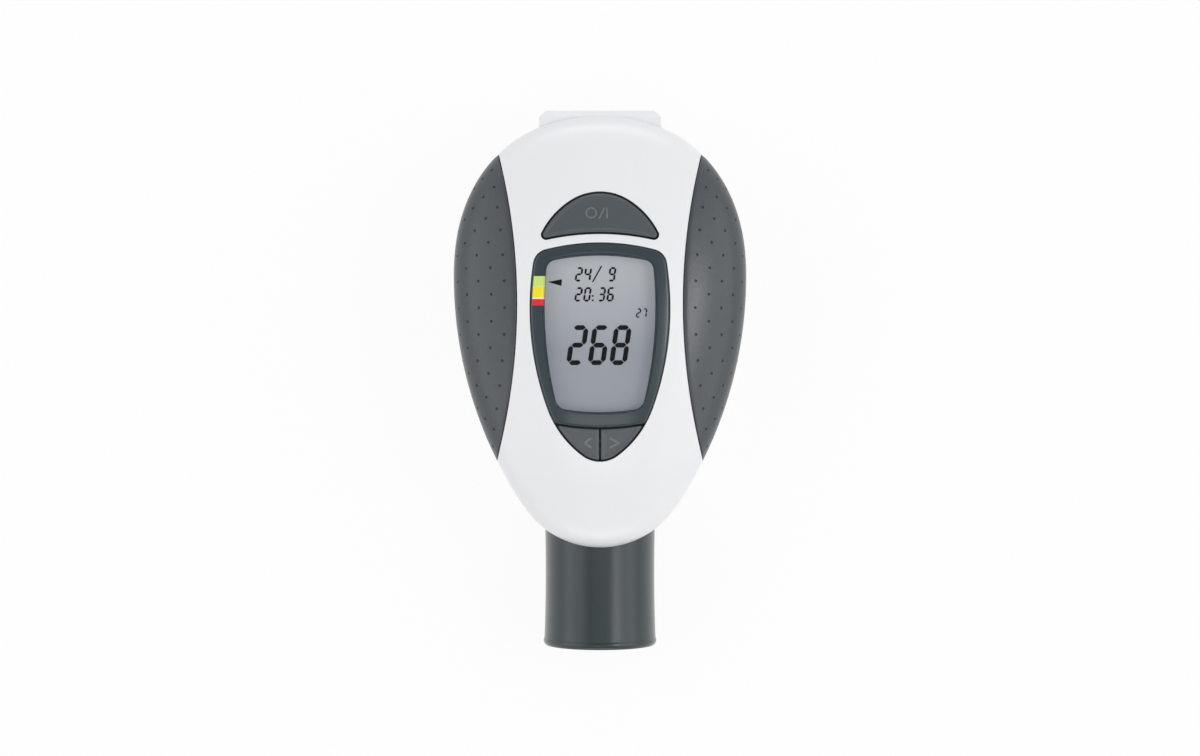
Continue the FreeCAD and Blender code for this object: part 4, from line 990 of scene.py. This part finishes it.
# two colours, roughness, its drift, scale and depth of the grain, other sockets
MOULDED = {
    "white_shell": ((234, 235, 237), (231, 232, 234), 0.30, 0.05, 3000.0, 0.03),
    "soft_grip": ((62, 68, 73), (57, 63, 68), 0.32, 0.08, 5200.0, 0.1, {"Specular_IOR_Level": 0.6}),
    "dark_key": ((74, 81, 85), (69, 76, 80), 0.42, 0.08, 5200.0, 0.14),
    # the arrow keys are the same rubber as the power key, painted lighter for the light that they catch
    "arrow_key_painted_light": ((82, 87, 91), (77, 82, 86), 0.42, 0.08, 5200.0, 0.14),
    # the raised marks are the keys' own rubber, painted lighter as a painted highlight along their ridges
    "key_ridge_painted_highlight": ((108, 113, 116), (102, 107, 110), 0.36, 0.06, 5200.0, 0.08),
    "arrow_ridge_painted_highlight": ((107, 112, 116), (102, 107, 111), 0.36, 0.06, 5200.0, 0.08),
    "bezel": ((46, 59, 65), (42, 55, 61), 0.22, 0.05, 4200.0, 0.03),
    "mouthpiece": ((12, 35, 39), (10, 32, 36), 0.36, 0.06, 3600.0, 0.02,
                   {"Specular_IOR_Level": 0.25, "Coat_Weight": 0.9, "Coat_Roughness": 0.32}),
    "clear_window": ((40, 44, 48), (36, 40, 44), 0.06, 0.03, 2600.0, 0.01,
                     {"Alpha": 0.06, "Specular_IOR_Level": 0.25}),
    # the display glass glows a little: a painted glow that lifts the shade in its recess
    "lcd_glass": (GREY, GREY, 0.35, 0.04, 2600.0, 0.02, {"Emission_Strength": 0.36}),
    "lcd_ink": ((6, 6, 8), (9, 9, 11), 0.6, 0.04, 2600.0, 0.02, {"Specular_IOR_Level": 0.2}),
    "zone_print": (GREY, GREY, 0.32, 0.04, 2600.0, 0.02),
    "inner_plastic": ((205, 207, 208), (196, 198, 200), 0.5),
    "display_carrier": ((62, 66, 70), (56, 60, 64), 0.5),
    "tube_plastic": ((238, 239, 240), (233, 235, 236), 0.26, 0.05, 3600.0, 0.03),
    "seal_rubber": ((44, 45, 47), (38, 39, 41), 0.6, 0.1, 5200.0, 0.12),
    "turbine_plastic": ((228, 226, 218), (218, 216, 208), 0.38),
    "bearing_plastic": ((122, 96, 62), (112, 88, 56), 0.35),
    "silicone": ((190, 188, 182), (178, 176, 170), 0.55, 0.08, 5200.0, 0.1),
    "sensor_resin": ((40, 26, 44), (32, 20, 36), 0.12, 0.04, 3000.0, 0.02),
    "chip_resin": ((38, 38, 40), (32, 32, 34), 0.55, 0.1, 6000.0, 0.2),
    "plated_steel": ((196, 196, 192), (176, 176, 172), 0.26, 0.14, 2600.0, 0.04, {"Metallic": 1.0}),
    "zebra_rubber": (GREY, GREY, 0.6),
    "board_lacquer": (GREY, GREY, 0.28, 0.06, 2600.0, 0.03),
    "cell_jacket": (GREY, GREY, 0.22, 0.06, 2600.0, 0.02),
}
finish = {name: moulded(name, *row) for name, row in MOULDED.items()}
print("finishes", len(finish))

# %% [markdown]
# ## Finishes: display, label and electronics
# The display glass is silvery grey with painted light and shade: lighter towards the top, darker and bluer
# towards the bottom, and a faint painted glow that lifts the shade in its recess. The zone label is printed
# in three bands with a thin pale line between the lower two. The window in front is clear, so its alpha is
# low and
# only a weak gloss shows on it. Contact strip, board and battery jackets get the pattern of their real make:
# stacked layers, copper tracks under green lacquer, and a printed sleeve.

# %% Materials: patterns over the colour
LCD_LOW_Y, LCD_HIGH_Y = -8.3, 32.0


def axis_value(tree, axis, low, high):
    """Position along an axis as 0 to 1 between two places, in millimetres."""
    split = node(tree, "SeparateXYZ", Vector=node(tree, "TexCoord").outputs["Object"])
    span = node(tree, "MapRange", Value=split.outputs[axis], From_Min=low * MM, From_Max=high * MM)
    return span.outputs["Result"]


def recolour(name, value, stops, kind="CONSTANT", also=()):
    """Puts screen colours over a value in place of a finish's colour, and into other sockets too."""
    tree = finish[name].node_tree
    made = node(tree, "ValToRGB", Fac=value)
    made.color_ramp.interpolation = kind
    while len(made.color_ramp.elements) < len(stops):
        made.color_ramp.elements.new(0.5)
    for element, (position, colour) in zip(made.color_ramp.elements, stops):
        element.position = position
        element.color = linear(colour)
    for socket in ("Base Color", *also):
        tree.links.new(made.outputs["Color"], tree.nodes["Principled BSDF"].inputs[socket])


def banded(name, axis, low, high, stops, **how):
    """Colours a finish by the position along an axis."""
    recolour(name, axis_value(finish[name].node_tree, axis, low, high), stops, **how)


# painted light and shade on the display glass: lighter towards the top, darker and bluer towards the bottom;
# the same colours feed its painted glow
banded("lcd_glass", "Y", LCD_LOW_Y, LCD_HIGH_Y,
       [(0.0, (147, 151, 160)), (0.4, (145, 149, 158)), (1.0, (176, 180, 184))],
       kind="LINEAR", also=["Emission Color"])
banded("zone_print", "Y", LABEL_LOW_Y, LABEL_HIGH_Y,
       [(0.0, (216, 34, 46)), (0.22, (246, 240, 214)), (0.265, (240, 222, 34)), (0.63, (226, 232, 120)),
        (0.65, (200, 224, 116))])

# %% Materials: electronics and batteries
STRIP_REACH = 14.0
STRIP_PERIOD = 0.36
TRACK_SCALE = 260.0
CELL_LOW_Y, CELL_HIGH_Y = -5.0, 45.0

tree = finish["zebra_rubber"].node_tree
along = axis_value(tree, "X", -STRIP_REACH, STRIP_REACH)
layer = sums(tree, "FRACT", sums(tree, "MULTIPLY", along, 2 * STRIP_REACH / STRIP_PERIOD))
recolour("zebra_rubber", layer, [(0.0, (34, 34, 36)), (0.5, (206, 150, 170))])
tree = finish["board_lacquer"].node_tree
tracks = node(tree, "TexVoronoi", Vector=node(tree, "TexCoord").outputs["Object"], distance="CHEBYCHEV",
              feature="DISTANCE_TO_EDGE", Scale=TRACK_SCALE)
recolour("board_lacquer", tracks.outputs["Distance"], [(0.0, (58, 128, 74)), (0.06, (22, 82, 50))])
banded("cell_jacket", "Y", CELL_LOW_Y, CELL_HIGH_Y,
       [(0.0, (196, 200, 204)), (0.1, (56, 62, 74)), (0.72, (180, 120, 52)), (0.88, (196, 200, 204))])
print("materials", len(bpy.data.materials))

# %% [markdown]
# ## Dressing the pieces
# New pieces and the engineering model's own get their finish in the same way. A node that keeps its shape
# only has the material in its slots changed; its mesh is never touched.

# %% Dress new pieces and carried-over nodes
def dress(obj, material):
    """Gives every slot of an object this material."""
    if not obj.data.materials:
        obj.data.materials.append(material)
    for slot in obj.material_slots:
        slot.material = material


# new pieces by themselves, nodes by name
WEARS = {
    "white_shell": ["front_casing", "rear_casing", "battery_door"],
    "soft_grip": [left_grip, right_grip, "left_grip", "right_grip"],
    "bezel": [display_frame, "display_bezel"],
    "dark_key": [power_key, "power_button"],
    "arrow_key_painted_light": [left_key, right_key, "left_arrow_button", "right_arrow_button"],
    # marks in the lighter rubber: a painted highlight on their ridges
    "key_ridge_painted_highlight": marks[:1],
    "arrow_ridge_painted_highlight": marks[1:],
    "mouthpiece": ["mouthpiece"],
    "clear_window": ["display_window"],
    "lcd_glass": ["lcd_glass"],
    "lcd_ink": figures,
    "zone_print": [label, "zone_label"],
    "inner_plastic": ["lcd_reflector"],
    "display_carrier": ["lcd_frame"],
    "tube_plastic": ["measuring_tube"],
    "seal_rubber": ["tube_seal_ring"],
    "turbine_plastic": ["inlet_swirler", "outlet_swirler", "rotor_vane"],
    "bearing_plastic": ["inlet_bearing", "outlet_bearing"],
    "silicone": ["power_key_dome", "left_key_dome", "right_key_dome"],
    "sensor_resin": ["infrared_emitter", "infrared_detector"],
    "chip_resin": ["microcontroller"],
    "plated_steel": ["radio_module", "timing_crystal", "contact_plates", "battery_springs", "casing_screws",
                     "board_screws", "rotor_shaft"],
    "zebra_rubber": ["contact_strip"],
    "board_lacquer": ["circuit_board"],
    "cell_jacket": ["left_battery", "right_battery"],
}
for name, pieces in WEARS.items():
    for piece in pieces:
        dress(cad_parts[piece] if isinstance(piece, str) else piece, finish[name])
print("nodes without a finish", sorted(set(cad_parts).difference(*WEARS.values())))

# %% [markdown]
# ## Floor, light and camera
# The meter lies on its back on a round white table whose border curves up into a wall, as in a photographer's
# cove. Two large soft lamps at the sides draw bands of light along the round mouthpiece, and small ones fill
# in from above, from both ends and from the right. The sky is a plain grey. By Light Path the table shows
# white to the camera, in gloss and through glass, and keeps the soft shadow. From below it is clear, so that
# the meter's back can be looked at.

# %% Floor
FLOOR_Z = -0.0006
FLOOR_RADIUS = 1.7
COVE_RADIUS = 0.9
COVE_STEPS = 10
COVE_WALL = 0.6
TABLE_GLOW = 0.92

deselect()
bpy.ops.mesh.primitive_circle_add(vertices=96, radius=FLOOR_RADIUS, fill_type="NGON",
                                  location=(0, 0, FLOOR_Z))
floor = bpy.context.active_object
floor.name = "table_top"
apply_place()
edit_all()
bpy.ops.mesh.select_mode(type="EDGE")
bpy.ops.mesh.region_to_loop()
reach, rise = FLOOR_RADIUS, 0.0
for step in range(1, COVE_STEPS + 1):
    turn = math.radians(90 * step / COVE_STEPS)
    new_reach = FLOOR_RADIUS + COVE_RADIUS * math.sin(turn)
    new_rise = COVE_RADIUS * (1 - math.cos(turn))
    wider = new_reach / reach
    bpy.ops.mesh.extrude_edges_move(TRANSFORM_OT_translate={"value": (0, 0, new_rise - rise)})
    bpy.ops.transform.resize(value=(wider, wider, 1), center_override=(0, 0, new_rise))
    reach, rise = new_reach, new_rise
bpy.ops.mesh.extrude_edges_move(TRANSFORM_OT_translate={"value": (0, 0, COVE_WALL)})
finish_faces(inside=True)
bpy.ops.object.shade_smooth()

# %% Floor: white to the camera, clear from below
table, tree, shader = new_material("table_white")
feed(tree, shader, Base_Color=linear((238, 238, 239)), Roughness=0.7)
rays = node(tree, "LightPath").outputs
seen = sums(tree, "MAXIMUM", sums(tree, "MAXIMUM", rays["Is Camera Ray"], rays["Is Glossy Ray"]),
            rays["Is Transmission Ray"])
glow = node(tree, "Emission", Strength=1.0, Color=(1, 1, 1, 1))
lit = node(tree, "MixShader", Fac=sums(tree, "MULTIPLY", seen, TABLE_GLOW))
both = node(tree, "MixShader", Fac=node(tree, "NewGeometry").outputs["Backfacing"])
for front, back, mix in ((shader, glow, lit), (lit, node(tree, "BsdfTransparent"), both)):
    tree.links.new(front.outputs[0], mix.inputs[1])
    tree.links.new(back.outputs[0], mix.inputs[2])
feed(tree, tree.nodes["Material Output"], Surface=both.outputs[0])
dress(floor, table)
print("floor", [round(side, 2) for side in floor.dimensions], "m")

# %% World and lamps
WORLD_LEVEL = 0.54
# name, place, aim, width, length, watts
LAMPS = [("lamp_left", (-0.93, 0.0, 0.7), (0, 0, 0.02), 1.3, 1.05, 4.2),
         ("lamp_right", (0.93, 0.0, 0.7), (0, 0, 0.02), 1.3, 1.05, 4.2),
         ("lamp_low", (0.0, -0.37, 1.3), (0, 0, 0.03), 0.7, 0.26, 1.1),
         ("lamp_front", (0.0, -1.15, 0.34), (0, 0, 0.03), 0.9, 0.3, 1.7),
         ("lamp_high", (0.0, 1.1, 0.27), (0, 0, 0.03), 0.9, 0.3, 2.0),
         ("lamp_accent", (0.46, 0.02, 0.72), (0.02, 0.0, 0.03), 0.16, 0.14, 0.8)]

world = bpy.data.worlds.new("studio")
bpy.context.scene.world = world
world.use_nodes = True
sky = world.node_tree.nodes["Background"]
feed(world.node_tree, sky, Color=(1, 1, 1, 1), Strength=WORLD_LEVEL)


def lamp(name, place, aim, width, length, watts):
    """Soft rectangular lamp that faces a point."""
    data = bpy.data.lights.new(name, "AREA")
    data.shape = "RECTANGLE"
    data.size, data.size_y = width, length
    data.energy = watts
    made = bpy.data.objects.new(name, data)
    bpy.context.scene.collection.objects.link(made)
    made.location = place
    x, y, z = np.array(aim) - np.array(place)
    made.rotation_euler = (math.atan2(math.hypot(x, y), -z), 0, math.atan2(-x, y))


for setting in LAMPS:
    lamp(*setting)
print("lamps", len(LAMPS), "with", sum(watts for *_, watts in LAMPS), "W in all")

# %% Camera
CAMERA_PLACE = (0, 0.6 * MM, 0.666)
CAMERA_LENS = 71.3

camera_data = bpy.data.cameras.new("camera")
camera_data.lens = CAMERA_LENS
camera_data.clip_start = 0.01
camera = bpy.data.objects.new("camera", camera_data)
bpy.context.scene.collection.objects.link(camera)
camera.location = CAMERA_PLACE
bpy.context.scene.camera = camera
bpy.context.scene.view_settings.view_transform = "Standard"
print("camera at", CAMERA_PLACE, "m")
